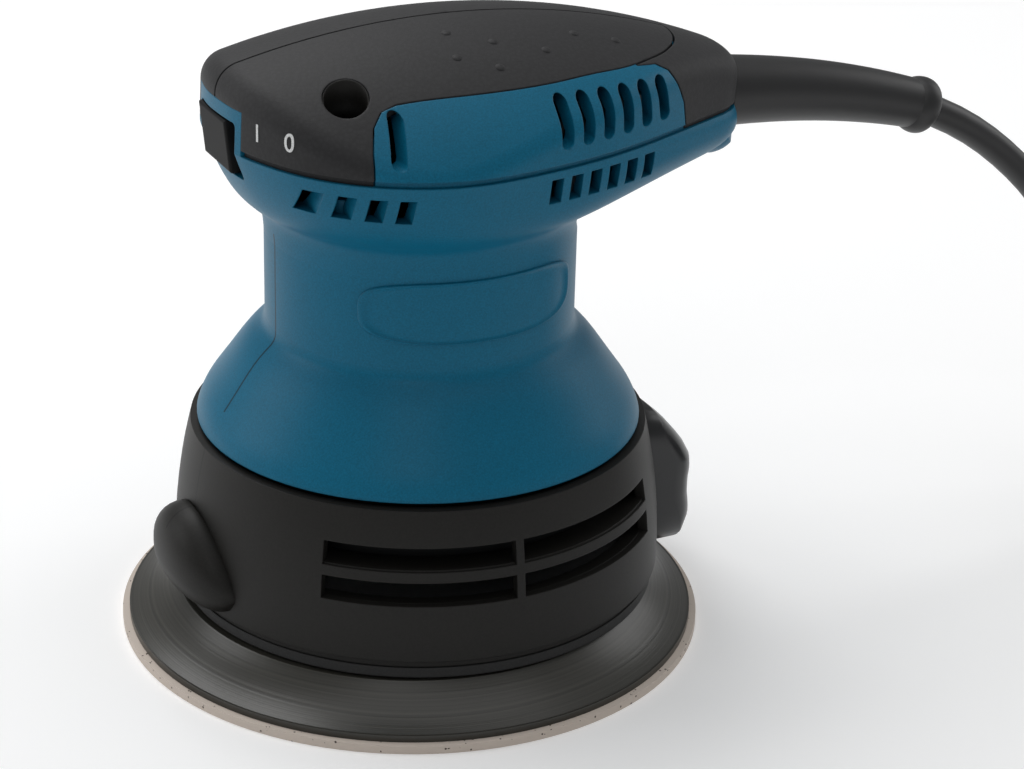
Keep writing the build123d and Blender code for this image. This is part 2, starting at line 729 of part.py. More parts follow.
# Dust skirt: turned wall, front boss, rear hood over the dust outlet, vents and inner flanges
with BuildPart() as dust_skirt:
    with BuildSketch(Plane.XZ):
        with BuildLine():
            outer_line = ThreePointArc((skirt_bottom_radius, skirt_groove_top),
                                       (skirt_waist_radius, skirt_waist_height),
                                       (skirt_top_radius, skirt_top))
            inner_line = ThreePointArc((skirt_top_radius - skirt_wall, skirt_top),
                                       (skirt_waist_radius - skirt_wall, skirt_waist_height),
                                       (skirt_bottom_radius - skirt_wall, skirt_groove_top))
            Line(outer_line @ 1, inner_line @ 0)
            Line(inner_line @ 1, outer_line @ 0)
        make_face()
        with Locations((skirt_bottom_radius - skirt_wall, skirt_groove_top)):
            Rectangle(skirt_wall - skirt_groove_depth, 2 * (skirt_groove_top - skirt_bottom),
                      align=(Align.MIN, Align.CENTER))
    revolve(axis=motor_axis)
    with BuildSketch(level(boss_middle - boss_height / 2)):
        with BuildLine():
            boss_arc = ThreePointArc((-boss_root, boss_half_width), (-boss_reach, 0),
                                     (-boss_root, -boss_half_width))
            Polyline(boss_arc @ 1, (-boss_root + 6, -boss_half_width + 4),
                     (-boss_root + 6, boss_half_width - 4), boss_arc @ 0)
        make_face()
    extrude(amount=boss_height)
    with BuildSketch(Plane.XZ):
        with BuildLine():
            Polyline(*hood_profile[:2])
            Spline(*hood_profile[1:-2])
            Polyline(*hood_profile[-3:], hood_profile[0])
        make_face()
    extrude(amount=nozzle_width / 2, both=True)
    with BuildSketch(Plane.XZ):
        with BuildLine():
            inside = ThreePointArc(inner_line @ 0, inner_line @ 0.5, inner_line @ 1)
            Polyline(inside @ 1, (skirt_bottom_radius - skirt_wall, 0), (0, 0), (0, skirt_top), inside @ 0)
        make_face()
    revolve(axis=motor_axis, mode=Mode.SUBTRACT)
    with BuildSketch(Plane.XZ):
        with BuildLine():
            Polyline(*hood_hollow, close=True)
        make_face()
    extrude(amount=nozzle_width / 2 - nozzle_wall, both=True, mode=Mode.SUBTRACT)
    with BuildSketch(Plane.YZ.offset(outlet_start - seat_gap)):
        with Locations((0, outlet_height)):
            Circle(outlet_radius + seat_gap)
    extrude(amount=nozzle_end - outlet_start, mode=Mode.SUBTRACT)
    for base in (vent_bottom, vent_bottom + vent_height + vent_bar):
        with BuildSketch(level(base)):
            for facing in (-90.5, 90.5):
                for side in (-1, 1):
                    middle = facing + side * (vent_angle + vent_split) / 2
                    make_face(sector(skirt_bottom_radius + 4, vent_angle / 2, middle).edges())
        extrude(amount=vent_height, mode=Mode.SUBTRACT)
    with BuildSketch(level(skirt_top - skirt_flange_drop - skirt_flange)):
        Circle(skirt_top_radius - skirt_wall / 2)
        Circle(collar_radius + seat_gap, mode=Mode.SUBTRACT)
    extrude(amount=skirt_flange)
    with BuildSketch(level(skirt_lug_base)):
        Circle(skirt_waist_radius - skirt_wall / 2)
        Circle(collar_bore - 1, mode=Mode.SUBTRACT)
        with Locations(*around(lug_circle, lug_angles)):
            Circle(lug_radius)
        with Locations(*around(lug_circle, lug_angles)):
            Circle(screw_radius + seat_gap, mode=Mode.SUBTRACT)
    extrude(amount=skirt_flange)
    with BuildSketch(level(baffle_height + baffle_thickness + seat_gap)):
        Circle(skirt_waist_radius - skirt_wall / 2)
        Circle(skirt_waist_radius - skirt_wall - 1.6, mode=Mode.SUBTRACT)
    extrude(amount=0.8)
dust_skirt.part.label = "dust_skirt"
export_step(dust_skirt.part, "parts/dust_skirt.step")

# Baffle plate between the dust fan and the motor
with BuildPart() as baffle_plate:
    with BuildSketch(level(baffle_height)):
        Circle(skirt_waist_radius - skirt_wall - seat_gap)
        Circle(baffle_bore, mode=Mode.SUBTRACT)
    extrude(amount=baffle_thickness)
baffle_plate.part.label = "baffle_plate"
export_step(baffle_plate.part, "parts/baffle_plate.step")

# Brake ring under the skirt
ring_bore = plate_radius + orbit_offset + 0.8
with BuildPart() as brake_ring:
    with BuildSketch(level(skirt_bottom - seat_gap - brake_ring_height)):
        Circle(skirt_bottom_radius - skirt_groove_depth + 0.3)
        Circle(ring_bore, mode=Mode.SUBTRACT)
    extrude(amount=brake_ring_height)
    with BuildSketch(level(skirt_bottom - seat_gap)):
        Circle(skirt_bottom_radius - skirt_wall - seat_gap)
        Circle(ring_bore, mode=Mode.SUBTRACT)
    extrude(amount=2.4)
brake_ring.part.label = "brake_ring"
export_step(brake_ring.part, "parts/brake_ring.step")

# Dust nozzle in the rear of the skirt
with BuildPart() as dust_nozzle:
    with BuildSketch(Plane.YZ.offset(outlet_start)):
        with Locations((0, outlet_height)):
            Circle(outlet_radius)
            Circle(outlet_bore, mode=Mode.SUBTRACT)
    extrude(amount=nozzle_end - outlet_start)
dust_nozzle.part.label = "dust_nozzle"
export_step(dust_nozzle.part, "parts/dust_nozzle.step")


# Cord route: inside the tail, through the guard, down to the coil
cord_points = [(52, 0, 110.7), (92, 0, 107.2), (128, 0, 98.4), (156, 0, 77.5), (173.5, -6.5, 49.5),
               (191.35, -14.85, 24.13)]


def corner_radii(points):
    """Radius at each corner: as large as the two runs beside it allow."""
    radii = []
    for before, corner, after in zip(points, points[1:], points[2:]):
        arriving = Vector(*corner) - Vector(*before)
        leaving = Vector(*after) - Vector(*corner)
        half_turn = radians(arriving.get_angle(leaving)) / 2
        radii.append(0.45 * min(arriving.length, leaving.length) / tan(half_turn))
    return radii


print("cord corner radii", [round(r, 1) for r in corner_radii(cord_points)])
with BuildLine() as cord_route:
    FilletPolyline(*cord_points, radius=corner_radii(cord_points))
cord_wire = cord_route.wires()[0]
print("cord length outside the coil", round(cord_wire.length, 1))


def along_cord(distance):
    """Plane across the cord at a distance from its inner end."""
    return Plane(origin=cord_wire.position_at(distance, PositionMode.LENGTH),
                 z_dir=cord_wire.tangent_at(distance, PositionMode.LENGTH))


guard_start = 17.4
guard_end = guard_start + guard_length
to_rear = (Align.CENTER, Align.CENTER, Align.MAX)

# Soft guard around the cord, thinning to a rounded bead
with BuildPart() as cord_guard:
    for share in (0, 0.25, 0.5, 0.75, 1):
        with BuildSketch(along_cord(guard_start + share * guard_length)):
            Circle(guard_base_radius + share * (guard_tip_radius - guard_base_radius))
    loft()
    for distance, radius in ((-0.5, guard_tip_radius - 0.2), (1.4, guard_bulb_radius), (3.4, guard_bulb_radius),
                             (5.0, guard_tip_radius - 0.6)):
        with BuildSketch(along_cord(guard_end + distance)):
            Circle(radius)
    loft()
    with BuildSketch(along_cord(guard_start)):
        Circle(guard_neck_radius)
    extrude(amount=-guard_neck_length)
    with BuildSketch(along_cord(guard_start - guard_neck_length)):
        Circle(guard_flange_radius)
    extrude(amount=guard_flange_thickness)
    with BuildSketch(along_cord(0)):
        Circle(cord_radius + seat_gap)
    sweep(path=cord_wire, mode=Mode.SUBTRACT)
cord_guard.part.label = "cord_guard"
export_step(cord_guard.part, "parts/cord_guard.step")

# Power cord from the clamp to the coil
with BuildPart() as power_cord:
    with BuildSketch(along_cord(0)):
        Circle(cord_radius)
    sweep(path=cord_wire)
print("cord volume ratio", round(power_cord.part.volume / (pi * cord_radius**2 * cord_wire.length), 4))
power_cord.part.label = "power_cord"
export_step(power_cord.part, "parts/power_cord.step")

# Put-away coil of the cord: three rows of two turns and one on top
coil_rows = 6 * cord_radius
coil_top = coil_rows + sqrt(3) * cord_radius
with BuildPart() as cord_coil:
    with BuildSketch(Plane(origin=(*coil_centre, 0), x_dir=(1, 0, 0), z_dir=(0, -1, 0))):
        with BuildLine():
            inner = coil_mean_radius - 2 * cord_radius
            outer = coil_mean_radius + 2 * cord_radius
            Polyline((inner, 0), (outer, 0), (outer, coil_rows), (outer - cord_radius, coil_top),
                     (inner + cord_radius, coil_top), (inner, coil_rows), close=True)
        make_face()
    revolve(axis=Axis((*coil_centre, 0), (0, 0, 1)))
cord_coil.part.label = "cord_coil"
export_step(cord_coil.part, "parts/cord_coil.step")

# Flat two-pin plug lying on the coil
plug_middle = (coil_centre[0], coil_centre[1] + plug_chord, coil_top + seat_gap + plug_thickness / 2)
plug_plane = Plane(origin=plug_middle, x_dir=(0, 1, 0), z_dir=(1, 0, 0))
with BuildPart() as plug_body:
    with BuildSketch(plug_plane):
        RectangleRounded(plug_width, plug_thickness, plug_thickness / 2 - 0.5)
    extrude(amount=plug_length)
    with BuildSketch(plug_plane):
        Circle(cord_radius + 2.4)
    extrude(amount=-plug_relief, taper=5)
    with BuildSketch(plug_plane.offset(plug_length)):
        with Locations((-pin_spacing / 2, 0), (pin_spacing / 2, 0)):
            Circle(pin_root_radius + seat_gap)
    extrude(amount=-pin_root, mode=Mode.SUBTRACT)
plug_body.part.label = "plug_body"
export_step(plug_body.part, "parts/plug_body.step")

with BuildPart() as plug_pins:
    with BuildSketch(plug_plane.offset(plug_length + seat_gap)):
        with Locations((-pin_spacing / 2, 0), (pin_spacing / 2, 0)):
            Circle(pin_radius)
    extrude(amount=pin_length)
    with BuildSketch(plug_plane.offset(plug_length + seat_gap)):
        with Locations((-pin_spacing / 2, 0), (pin_spacing / 2, 0)):
            Circle(pin_root_radius)
    extrude(amount=-pin_root)
plug_pins.part.label = "plug_pins"
export_step(plug_pins.part, "parts/plug_pins.step")

# Motor housing: collar, bell, neck and lower head in one, with the switch frame at the front
bell_outline = [(bell_radius, bell_bottom), (bell_bulge_radius, bell_bulge_height), (bell_top_radius, bell_top),
                (neck_radius, neck_blend_top)]


def housing_profile(inset, bottom, top):
    """Half section of bell and neck, moved inwards."""
    with BuildLine() as profile:
        Polyline((0, bottom), (bell_radius - inset, bottom))
        Polyline((bell_radius - inset, bottom), (bell_radius - inset, bell_bottom + 0.4))
        Spline((bell_radius - inset, bell_bottom + 0.4), *[(r - inset, z) for r, z in bell_outline[1:]],
               tangents=((-0.25, 1), (0, 1)))
        Polyline((neck_radius - inset, neck_blend_top), (neck_radius - inset, top), (0, top), (0, bottom))
    return profile.line


# Room for the cord guard in the housing, the cap and the shell
with BuildPart() as guard_space_part:
    with Locations(along_cord(guard_start - guard_neck_length + guard_flange_thickness + seat_gap)):
        Cylinder(guard_flange_radius + seat_gap, tail_length, align=to_rear)
    with Locations(along_cord(guard_start + 1)):
        Cylinder(guard_neck_radius + seat_gap, guard_neck_length + 1, align=to_rear)
    with Locations(along_cord(guard_start - seat_gap)):
        Cylinder(guard_base_radius + seat_gap, tail_length, align=(Align.CENTER, Align.CENTER, Align.MIN))
guard_space = guard_space_part.part

with BuildPart() as bosses:
    with BuildSketch(level(deck_base - seat_gap)):
        with Locations(*well_places):
            Circle(post_radius)
    extrude(amount=-post_height)
    with BuildSketch(level(clamp_base - seat_gap)):
        for side in (-1, 1):
            with Locations((clamp_middle, side * (cord_radius + 0.5))):
                Rectangle(clamp_length + 2, clamp_reach - cord_radius,
                          align=(Align.CENTER, Align.MIN if side > 0 else Align.MAX))
    extrude(amount=-post_height)
    add(lower_head(1.0), mode=Mode.INTERSECT)

with BuildPart() as switch_frame:
    add(dome(0, crown_fillet))
    with BuildSketch(head_plane):
        make_face(closed_outline(outline_points(0.6)).edges())
    extrude(amount=-1)
    with BuildSketch(level(100)):
        with Locations((-60, 0)):
            Rectangle(60 - 36.6, 2 * frame_half_width, align=(Align.MIN, Align.CENTER))
    extrude(amount=frame_top - 100, mode=Mode.INTERSECT)
    add(dome(housing_wall, 0), mode=Mode.SUBTRACT)

with BuildPart() as motor_housing:
    with BuildSketch(Plane.XZ):
        make_face(housing_profile(0, bell_bottom, neck_top).edges())
    revolve(axis=motor_axis)
    add(lower_head(0))
    with BuildPart(mode=Mode.PRIVATE) as tail:
        with Locations(along_cord(tail_end)):
            Cylinder(tail_radius, tail_length, align=to_rear)
        fillet(tail.edges().sort_by(Axis.X)[-1], tail_fillet)
        with BuildSketch(head_plane):
            make_face(closed_outline(outline_points(0)).edges())
        extrude(amount=-tail_radius * 2, mode=Mode.INTERSECT)
    add(tail.part)
    with BuildSketch(Plane.XZ):
        make_face(housing_profile(housing_wall, bell_bottom - 1, neck_top + housing_wall).edges())
    revolve(axis=motor_axis, mode=Mode.SUBTRACT)
    add(lower_head(housing_wall), mode=Mode.SUBTRACT)
    add(guard_space, mode=Mode.SUBTRACT)
    for first, count, drop in (low_front_slots, low_rear_slots):
        with BuildSketch(head_side):
            with Locations(*[(first + i * low_slot_pitch, -drop) for i in range(count)]):
                Rectangle(slot_width, low_slot_height, align=(Align.CENTER, Align.MAX))
        extrude(amount=60, both=True, mode=Mode.SUBTRACT)
    with BuildSketch(level(collar_bottom)):
        Circle(collar_radius)
        Circle(collar_bore, mode=Mode.SUBTRACT)
    extrude(amount=bell_bottom - collar_bottom + 1.5)
    with BuildSketch(level(bracket_base + spoke_height + seat_gap)):
        with Locations(*around(lug_circle, lug_angles)):
            Circle(lug_radius)
    extrude(amount=10)
    with BuildSketch(level(bracket_base)):
        with Locations(*around(lug_circle, lug_angles)):
            Circle(screw_radius + seat_gap)
    extrude(amount=screw_length + 1, mode=Mode.SUBTRACT)
    add(bosses.part)
    with BuildSketch(level(deck_base - seat_gap)):
        with Locations(*well_places):
            Circle(screw_radius + seat_gap)
    extrude(amount=-(housing_screw_length + screw_tip_room - well_floor + deck_base), mode=Mode.SUBTRACT)
    with BuildSketch(level(clamp_base - seat_gap)):
        with Locations((clamp_middle, -clamp_screw_y), (clamp_middle, clamp_screw_y)):
            Circle(clamp_screw_radius + seat_gap)
    extrude(amount=-clamp_screw_length, mode=Mode.SUBTRACT)
    add(switch_frame.part)
    with BuildSketch(Plane.YZ.offset(-60)):
        with Locations((0, (opening_bottom + opening_top) / 2)):
            RectangleRounded(2 * opening_half_width, opening_top - opening_bottom, 1.0)
    extrude(amount=25, mode=Mode.SUBTRACT)
motor_housing.part.label = "motor_housing"
export_step(motor_housing.part, "parts/motor_housing.step")


def grip_outline(side, widening):
    """Plan outline of one soft grip, from the middle seam round its tip and along the panel to the front."""
    near = (seam_gap / 2 - widening) * side
    edge = []
    for i, (x, y) in enumerate(grip_edge):
        before, after = grip_edge[max(i - 1, 0)], grip_edge[min(i + 1, len(grip_edge) - 1)]
        along = (after[0] - before[0], after[1] - before[1])
        length = hypot(*along)
        edge.append((x - widening * along[1] / length, (y + widening * along[0] / length) * side))
    edge[-1] = (grip_edge[-1][0] + widening, near)
    front = [(x + widening, y * side) for x, y in grip_front[:-1]]
    with BuildLine() as outline:
        Polyline((-60, near), (-60, 60 * side), *front, edge[0])
        tip = Spline(*edge)
        Polyline(tip @ 1, (-60, near))
    return outline.line


def front_cut():
    """Space of the switch frame in the upper pieces."""
    with BuildPart() as cut:
        with BuildSketch(level(100)):
            with Locations((-60, 0)):
                Rectangle(60 - 36, 2 * (frame_half_width + seat_gap), align=(Align.MIN, Align.CENTER))
        extrude(amount=frame_top + seat_gap - 100)
    return cut.part


def ledge_cut():
    """Shadow groove along the ledge."""
    with BuildPart() as cut:
        with BuildSketch(head_plane):
            Rectangle(300, 300)
            make_face(closed_outline(outline_points(ledge_groove)).edges(), mode=Mode.SUBTRACT)
        extrude(amount=ledge_groove_height)
    return cut.part


def well_cut():
    """Screw wells through the top."""
    with BuildPart() as cut:
        with BuildSketch(level(well_floor)):
            with Locations(*well_places):
                Circle(well_radius)
        extrude(amount=60)
        with BuildSketch(level(deck_top - 5)):
            with Locations(*well_places):
                Circle(screw_radius + seat_gap)
        extrude(amount=60)
    return cut.part


def side_slots():
    """Slots in the sides of the handle shell."""
    with BuildPart() as cut:
        first, middle = side_slots_from
        slots = [(first + i * side_slot_pitch, middle, lean) for i, lean in enumerate(side_slot_leans)]
        with BuildSketch(head_side):
            for x, z, lean in slots + [front_slot]:
                with Locations((x, z)):
                    SlotOverall(slot_length, slot_width, rotation=90 - lean)
        extrude(amount=60, both=True)
        with BuildSketch(level(90)):
            Rectangle(200, 24)
        extrude(amount=60, mode=Mode.SUBTRACT)
    return cut.part


outer_dome = dome(0, crown_fillet)
skin_dome = dome(skin_thickness, crown_fillet - skin_thickness)
groove = ledge_cut()
wells = well_cut()
frame_space = front_cut()

with BuildPart() as grip_left:
    with BuildSketch(level(90)):
        make_face(grip_outline(1, 0).edges())
    extrude(amount=60)
    add(outer_dome, mode=Mode.INTERSECT)
    add(skin_dome, mode=Mode.SUBTRACT)
    add(frame_space, mode=Mode.SUBTRACT)
    add(groove, mode=Mode.SUBTRACT)
    add(wells, mode=Mode.SUBTRACT)
grip_left.part.label = "grip_left"
export_step(grip_left.part, "parts/grip_left.step")

with BuildPart() as grip_right:
    with BuildSketch(level(90)):
        make_face(grip_outline(-1, 0).edges())
    extrude(amount=60)
    add(outer_dome, mode=Mode.INTERSECT)
    add(skin_dome, mode=Mode.SUBTRACT)
    add(frame_space, mode=Mode.SUBTRACT)
    add(groove, mode=Mode.SUBTRACT)
    add(wells, mode=Mode.SUBTRACT)
grip_right.part.label = "grip_right"
export_step(grip_right.part, "parts/grip_right.step")


def grips_space(widening):
    """Space of both grips with the seam between them, widened."""
    with BuildPart() as space:
        with BuildSketch(level(90)):
            for side in (-1, 1):
                make_face(grip_outline(side, widening).edges())
            with Locations((-60, 0)):
                Rectangle(60 + grip_edge[-1][0] - 1, 3 * seam_gap, align=(Align.MIN, Align.CENTER))
        extrude(amount=60)
    return space.part


def cap_space(gap):
    """Space behind the side panels, seen from the side, moved forward by a gap."""
    edge = [(x - gap, z) for x, z in cap_edge]
    with BuildPart() as space:
        with BuildSketch(head_side):
            with BuildLine():
                Polyline(*edge, (edge[-1][0], 60), (120, 60), (120, edge[0][1]), edge[0])
            make_face()
        extrude(amount=60, both=True)
    return space.part


with BuildPart() as rear_cap:
    add(cap_space(0))
    add(outer_dome, mode=Mode.INTERSECT)
    add(grips_space(seam_gap), mode=Mode.SUBTRACT)
    add(skin_dome, mode=Mode.SUBTRACT)
    add(groove, mode=Mode.SUBTRACT)
    add(guard_space, mode=Mode.SUBTRACT)
rear_cap.part.label = "rear_cap"
export_step(rear_cap.part, "parts/rear_cap.step")

# Handle shell under the grips, its slotted side panels flush with them
with BuildPart() as handle_shell:
    add(dome(skin_thickness + seat_gap, crown_fillet - skin_thickness - seat_gap))
    with BuildPart(mode=Mode.PRIVATE) as panels:
        add(outer_dome)
        add(grips_space(panel_gap), mode=Mode.SUBTRACT)
        add(cap_space(panel_gap), mode=Mode.SUBTRACT)
    add(panels.part)
    with BuildPart(mode=Mode.PRIVATE) as hollow:
        add(dome(skin_thickness + shell_wall, 0))
        with BuildSketch(level(deck_top + seat_gap)):
            with Locations(*well_places):
                Circle(well_radius + 1.8)
        extrude(amount=40, mode=Mode.SUBTRACT)
    add(hollow.part, mode=Mode.SUBTRACT)
    with BuildSketch(level(deck_top + seat_gap)):
        with Locations(*well_places[:2]):
            Circle(well_radius + 1.4)
    extrude(amount=8)
    add(frame_space, mode=Mode.SUBTRACT)
    add(groove, mode=Mode.SUBTRACT)
    add(wells, mode=Mode.SUBTRACT)
    add(side_slots(), mode=Mode.SUBTRACT)
    add(guard_space, mode=Mode.SUBTRACT)
handle_shell.part.label = "handle_shell"
export_step(handle_shell.part, "parts/handle_shell.step")

# Screws from the wells into the housing posts
with BuildPart() as housing_screws:
    with BuildSketch(level(well_floor)):
        with Locations(*well_places):
            Circle(screw_head_radius)
    extrude(amount=screw_head_height)
    with BuildSketch(level(well_floor)):
        with Locations(*well_places):
            Circle(screw_radius)
    extrude(amount=-housing_screw_length)
    with BuildSketch(level(well_floor + screw_head_height)):
        with Locations(*well_places):
            Rectangle(screw_head_radius * 1.3, 0.9)
            Rectangle(0.9, screw_head_radius * 1.3)
    extrude(amount=-screw_head_height * 0.5, mode=Mode.SUBTRACT)
housing_screws.part.label = "housing_screws"
export_step(housing_screws.part, "parts/housing_screws.step")

# Deck plate with the seat of the upper bearing
with BuildPart() as deck_plate:
    with BuildSketch(level(deck_base)):
        make_face(closed_outline(outline_points(deck_inset)).edges())
        with BuildSketch(level(deck_base), mode=Mode.INTERSECT):
            with Locations((deck_front, 0)):
                Rectangle(deck_rear - deck_front, 200, align=(Align.MIN, Align.CENTER))
    extrude(amount=deck_thickness)
    with BuildSketch(level(deck_base)):
        Circle(upper_bearing_size[1] + sleeve_wall + 2.2)
    extrude(amount=deck_thickness + upper_bearing_size[2] - 1.5)
    with BuildSketch(level(deck_top)):
        Circle(upper_bearing_size[1] + sleeve_wall + seat_gap)
    extrude(amount=upper_bearing_size[2], mode=Mode.SUBTRACT)
    with BuildSketch(level(deck_base)):
        Circle(upper_bearing_size[1] - 2.0)
        with Locations(*well_places):
            Circle(screw_radius + seat_gap)
    extrude(amount=upper_bearing_size[2], mode=Mode.SUBTRACT)
deck_plate.part.label = "deck_plate"
export_step(deck_plate.part, "parts/deck_plate.step")

with BuildPart() as bearing_sleeve:
    with BuildSketch(level(upper_bearing_base)):
        Circle(upper_bearing_size[1] + sleeve_wall)
        Circle(upper_bearing_size[1] + seat_gap, mode=Mode.SUBTRACT)
    extrude(amount=upper_bearing_size[2] - 0.5)
bearing_sleeve.part.label = "bearing_sleeve"
export_step(bearing_sleeve.part, "parts/bearing_sleeve.step")

# Switch: sliding lever in the frame, body on the deck behind it
lever_height = opening_top - opening_bottom - 1.0
lever_middle = (opening_top + opening_bottom) / 2
lever_rest = opening_half_width - 0.15 - lever_width / 2
with BuildPart() as switch_lever:
    with BuildSketch(Plane.XZ.offset(-lever_rest)):
        with BuildLine():
            low, high = lever_middle - lever_height / 2, lever_middle + lever_height / 2
            Polyline((lever_front, high), (lever_front + lever_lean, low), (lever_front + lever_depth, low),
                     (lever_front + lever_depth, high), close=True)
        make_face()
    extrude(amount=lever_width / 2, both=True)
    fillet(switch_lever.faces().sort_by(Axis.X)[0].edges(), 0.6)
    with BuildSketch(Plane.YZ.offset(lever_front + lever_depth)):
        with Locations((lever_rest, lever_middle + 1.0)):
            Rectangle(4.0, 4.0)
    extrude(amount=3.0)
switch_lever.part.label = "switch_lever"
export_step(switch_lever.part, "parts/switch_lever.step")

switch_front = lever_front + lever_depth + 0.4
switch_rear = switch_front + switch_body_size[0]
with BuildPart() as switch_body:
    with Locations((switch_front, 0, deck_top + seat_gap)):
        Box(*switch_body_size, align=(Align.MIN, Align.CENTER, Align.MIN))
    with BuildSketch(Plane.YZ.offset(switch_front)):
        with Locations((lever_rest - lever_travel / 2, lever_middle + 1.0)):
            Rectangle(4.0 + lever_travel + 1.0, 5.0)
    extrude(amount=4.0, mode=Mode.SUBTRACT)
switch_body.part.label = "switch_body"
export_step(switch_body.part, "parts/switch_body.step")

# Interference capacitor on the deck
with BuildPart() as capacitor:
    with Locations((32, -14, deck_top + seat_gap)):
        Box(20, 9, 8, align=(Align.CENTER, Align.CENTER, Align.MIN))
    fillet(capacitor.edges().filter_by(Axis.Z), 1.0)
capacitor.part.label = "capacitor"
export_step(capacitor.part, "parts/capacitor.step")

# Cord clamp over the inner end of the cord, on two posts of the housing
clamp_height = cord_points[0][2] + cord_radius
with BuildPart() as cord_clamp:
    with Locations((clamp_middle, 0, clamp_base)):
        Box(clamp_length, 2 * clamp_reach, clamp_height + 2.2 - clamp_base,
            align=(Align.CENTER, Align.CENTER, Align.MIN))
    with Locations((clamp_middle, 0, clamp_base)):
        Box(clamp_length, 2 * (cord_radius + seat_gap), clamp_height - clamp_base, mode=Mode.SUBTRACT,
            align=(Align.CENTER, Align.CENTER, Align.MIN))
    with BuildSketch(level(clamp_base)):
        with Locations((clamp_middle, -clamp_screw_y), (clamp_middle, clamp_screw_y)):
            Circle(clamp_screw_radius + seat_gap)
    extrude(amount=20, mode=Mode.SUBTRACT)
cord_clamp.part.label = "cord_clamp"
export_step(cord_clamp.part, "parts/cord_clamp.step")

with BuildPart() as clamp_screws:
    with BuildSketch(level(clamp_height + 2.2)):
        with Locations((clamp_middle, -clamp_screw_y), (clamp_middle, clamp_screw_y)):
            Circle(clamp_screw_radius * 1.8)
    extrude(amount=1.8)
    with BuildSketch(level(clamp_height + 2.2)):
        with Locations((clamp_middle, -clamp_screw_y), (clamp_middle, clamp_screw_y)):
            Circle(clamp_screw_radius)
    extrude(amount=-clamp_screw_length)
clamp_screws.part.label = "clamp_screws"
export_step(clamp_screws.part, "parts/clamp_screws.step")

# Brush holders hung under the deck, one on each side of the commutator
brush_half = (brush_section[0] / 2, brush_section[1] / 2)
holder_half = (brush_half[0] + running_fit + brush_wall, brush_half[1] + running_fit + brush_wall)
with BuildPart() as brush_holders:
    for side in (-1, 1):
        with BuildSketch(Plane.XZ.offset(-side * holder_start)):
            with Locations((0, brush_middle)):
                Rectangle(2 * holder_half[0], 2 * holder_half[1])
        extrude(amount=-side * (holder_end - holder_start))
        with BuildSketch(Plane.XZ.offset(-side * holder_start)):
            with Locations((0, brush_middle)):
                Rectangle(2 * (brush_half[0] + running_fit), 2 * (brush_half[1] + running_fit))
        extrude(amount=-side * (holder_end - holder_start - 1.2), mode=Mode.SUBTRACT)
brush_holders.part.label = "brush_holders"
export_step(brush_holders.part, "parts/brush_holders.step")

brush_tip = commutator_radius + running_fit
with BuildPart() as carbon_brushes:
    for side in (-1, 1):
        with Locations((0, side * (brush_tip + brush_length / 2), brush_middle)):
            Box(brush_section[0], brush_length, brush_section[1])
carbon_brushes.part.label = "carbon_brushes"
export_step(carbon_brushes.part, "parts/carbon_brushes.step")

spring_start = brush_tip + brush_length + seat_gap
spring_space = holder_end - 1.2 - seat_gap - spring_start
with BuildPart() as brush_springs:
    for side in (-1, 1):
        start = (0, side * (spring_start + spring_wire), brush_middle)
        spring_height = spring_space - 2 * spring_wire
        with BuildLine() as turns:
            Helix(pitch=spring_height / 3, height=spring_height, radius=spring_radius, center=start,
                  direction=(0, side, 0))
        with BuildSketch(Plane(origin=turns.line @ 0, z_dir=turns.line % 0)):
            Circle(spring_wire)
        sweep(path=turns.line)
brush_springs.part.label = "brush_springs"
export_step(brush_springs.part, "parts/brush_springs.step")

# Lead wires from the capacitor to the switch, on the deck
with BuildPart() as lead_wires:
    for start_y, end_y in ((-12.5, -3.0), (-15.5, -7.0)):
        wire_height = deck_top + wire_radius + 0.6
        sideways = (start_y + 14) * 0.9
        route = [(21.8, start_y, wire_height), (6, -18.5 + sideways, wire_height),
                 (-10, -17 + sideways, wire_height), (switch_rear + 1.2, end_y, wire_height)]
        with BuildLine() as wire_line:
            FilletPolyline(*route, radius=4)
        with BuildSketch(Plane(origin=route[0], z_dir=wire_line.line % 0)):
            Circle(wire_radius)
        sweep(path=wire_line.wires()[0])
lead_wires.part.label = "lead_wires"
export_step(lead_wires.part, "parts/lead_wires.step")
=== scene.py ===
import bpy
import bmesh
from math import cos, pi, radians, sin, sqrt
from mathutils import Matrix, Vector
from mathutils.bvhtree import BVHTree


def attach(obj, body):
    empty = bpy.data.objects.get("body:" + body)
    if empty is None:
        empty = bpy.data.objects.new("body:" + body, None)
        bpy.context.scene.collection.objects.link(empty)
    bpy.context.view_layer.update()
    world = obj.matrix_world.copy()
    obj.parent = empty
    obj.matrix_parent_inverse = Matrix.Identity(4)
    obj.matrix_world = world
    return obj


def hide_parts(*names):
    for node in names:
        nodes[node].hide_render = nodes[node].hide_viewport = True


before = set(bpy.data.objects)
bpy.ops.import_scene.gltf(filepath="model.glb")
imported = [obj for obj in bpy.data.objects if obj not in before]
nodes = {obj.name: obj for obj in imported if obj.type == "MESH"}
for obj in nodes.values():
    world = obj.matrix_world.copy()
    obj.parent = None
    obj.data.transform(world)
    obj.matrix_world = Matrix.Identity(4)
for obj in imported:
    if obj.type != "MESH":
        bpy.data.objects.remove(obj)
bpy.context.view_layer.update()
print("frame loaded")


# sRGB hex to linear colour
def srgb(code):
    parts = [int(code[i:i + 2], 16) / 255 for i in (1, 3, 5)]
    return (*[p / 12.92 if p <= 0.04045 else ((p + 0.055) / 1.055) ** 2.4 for p in parts], 1.0)


# adds a node with its settings, values and links
def addNode(material, kind, links=None, values=None, **settings):
    node = material.node_tree.nodes.new(kind)
    for name, value in settings.items():
        setattr(node, name, value)
    for name, value in (values or {}).items():
        node.inputs[name].default_value = value
    for name, source in (links or {}).items():
        material.node_tree.links.new(source, node.inputs[name])
    return node


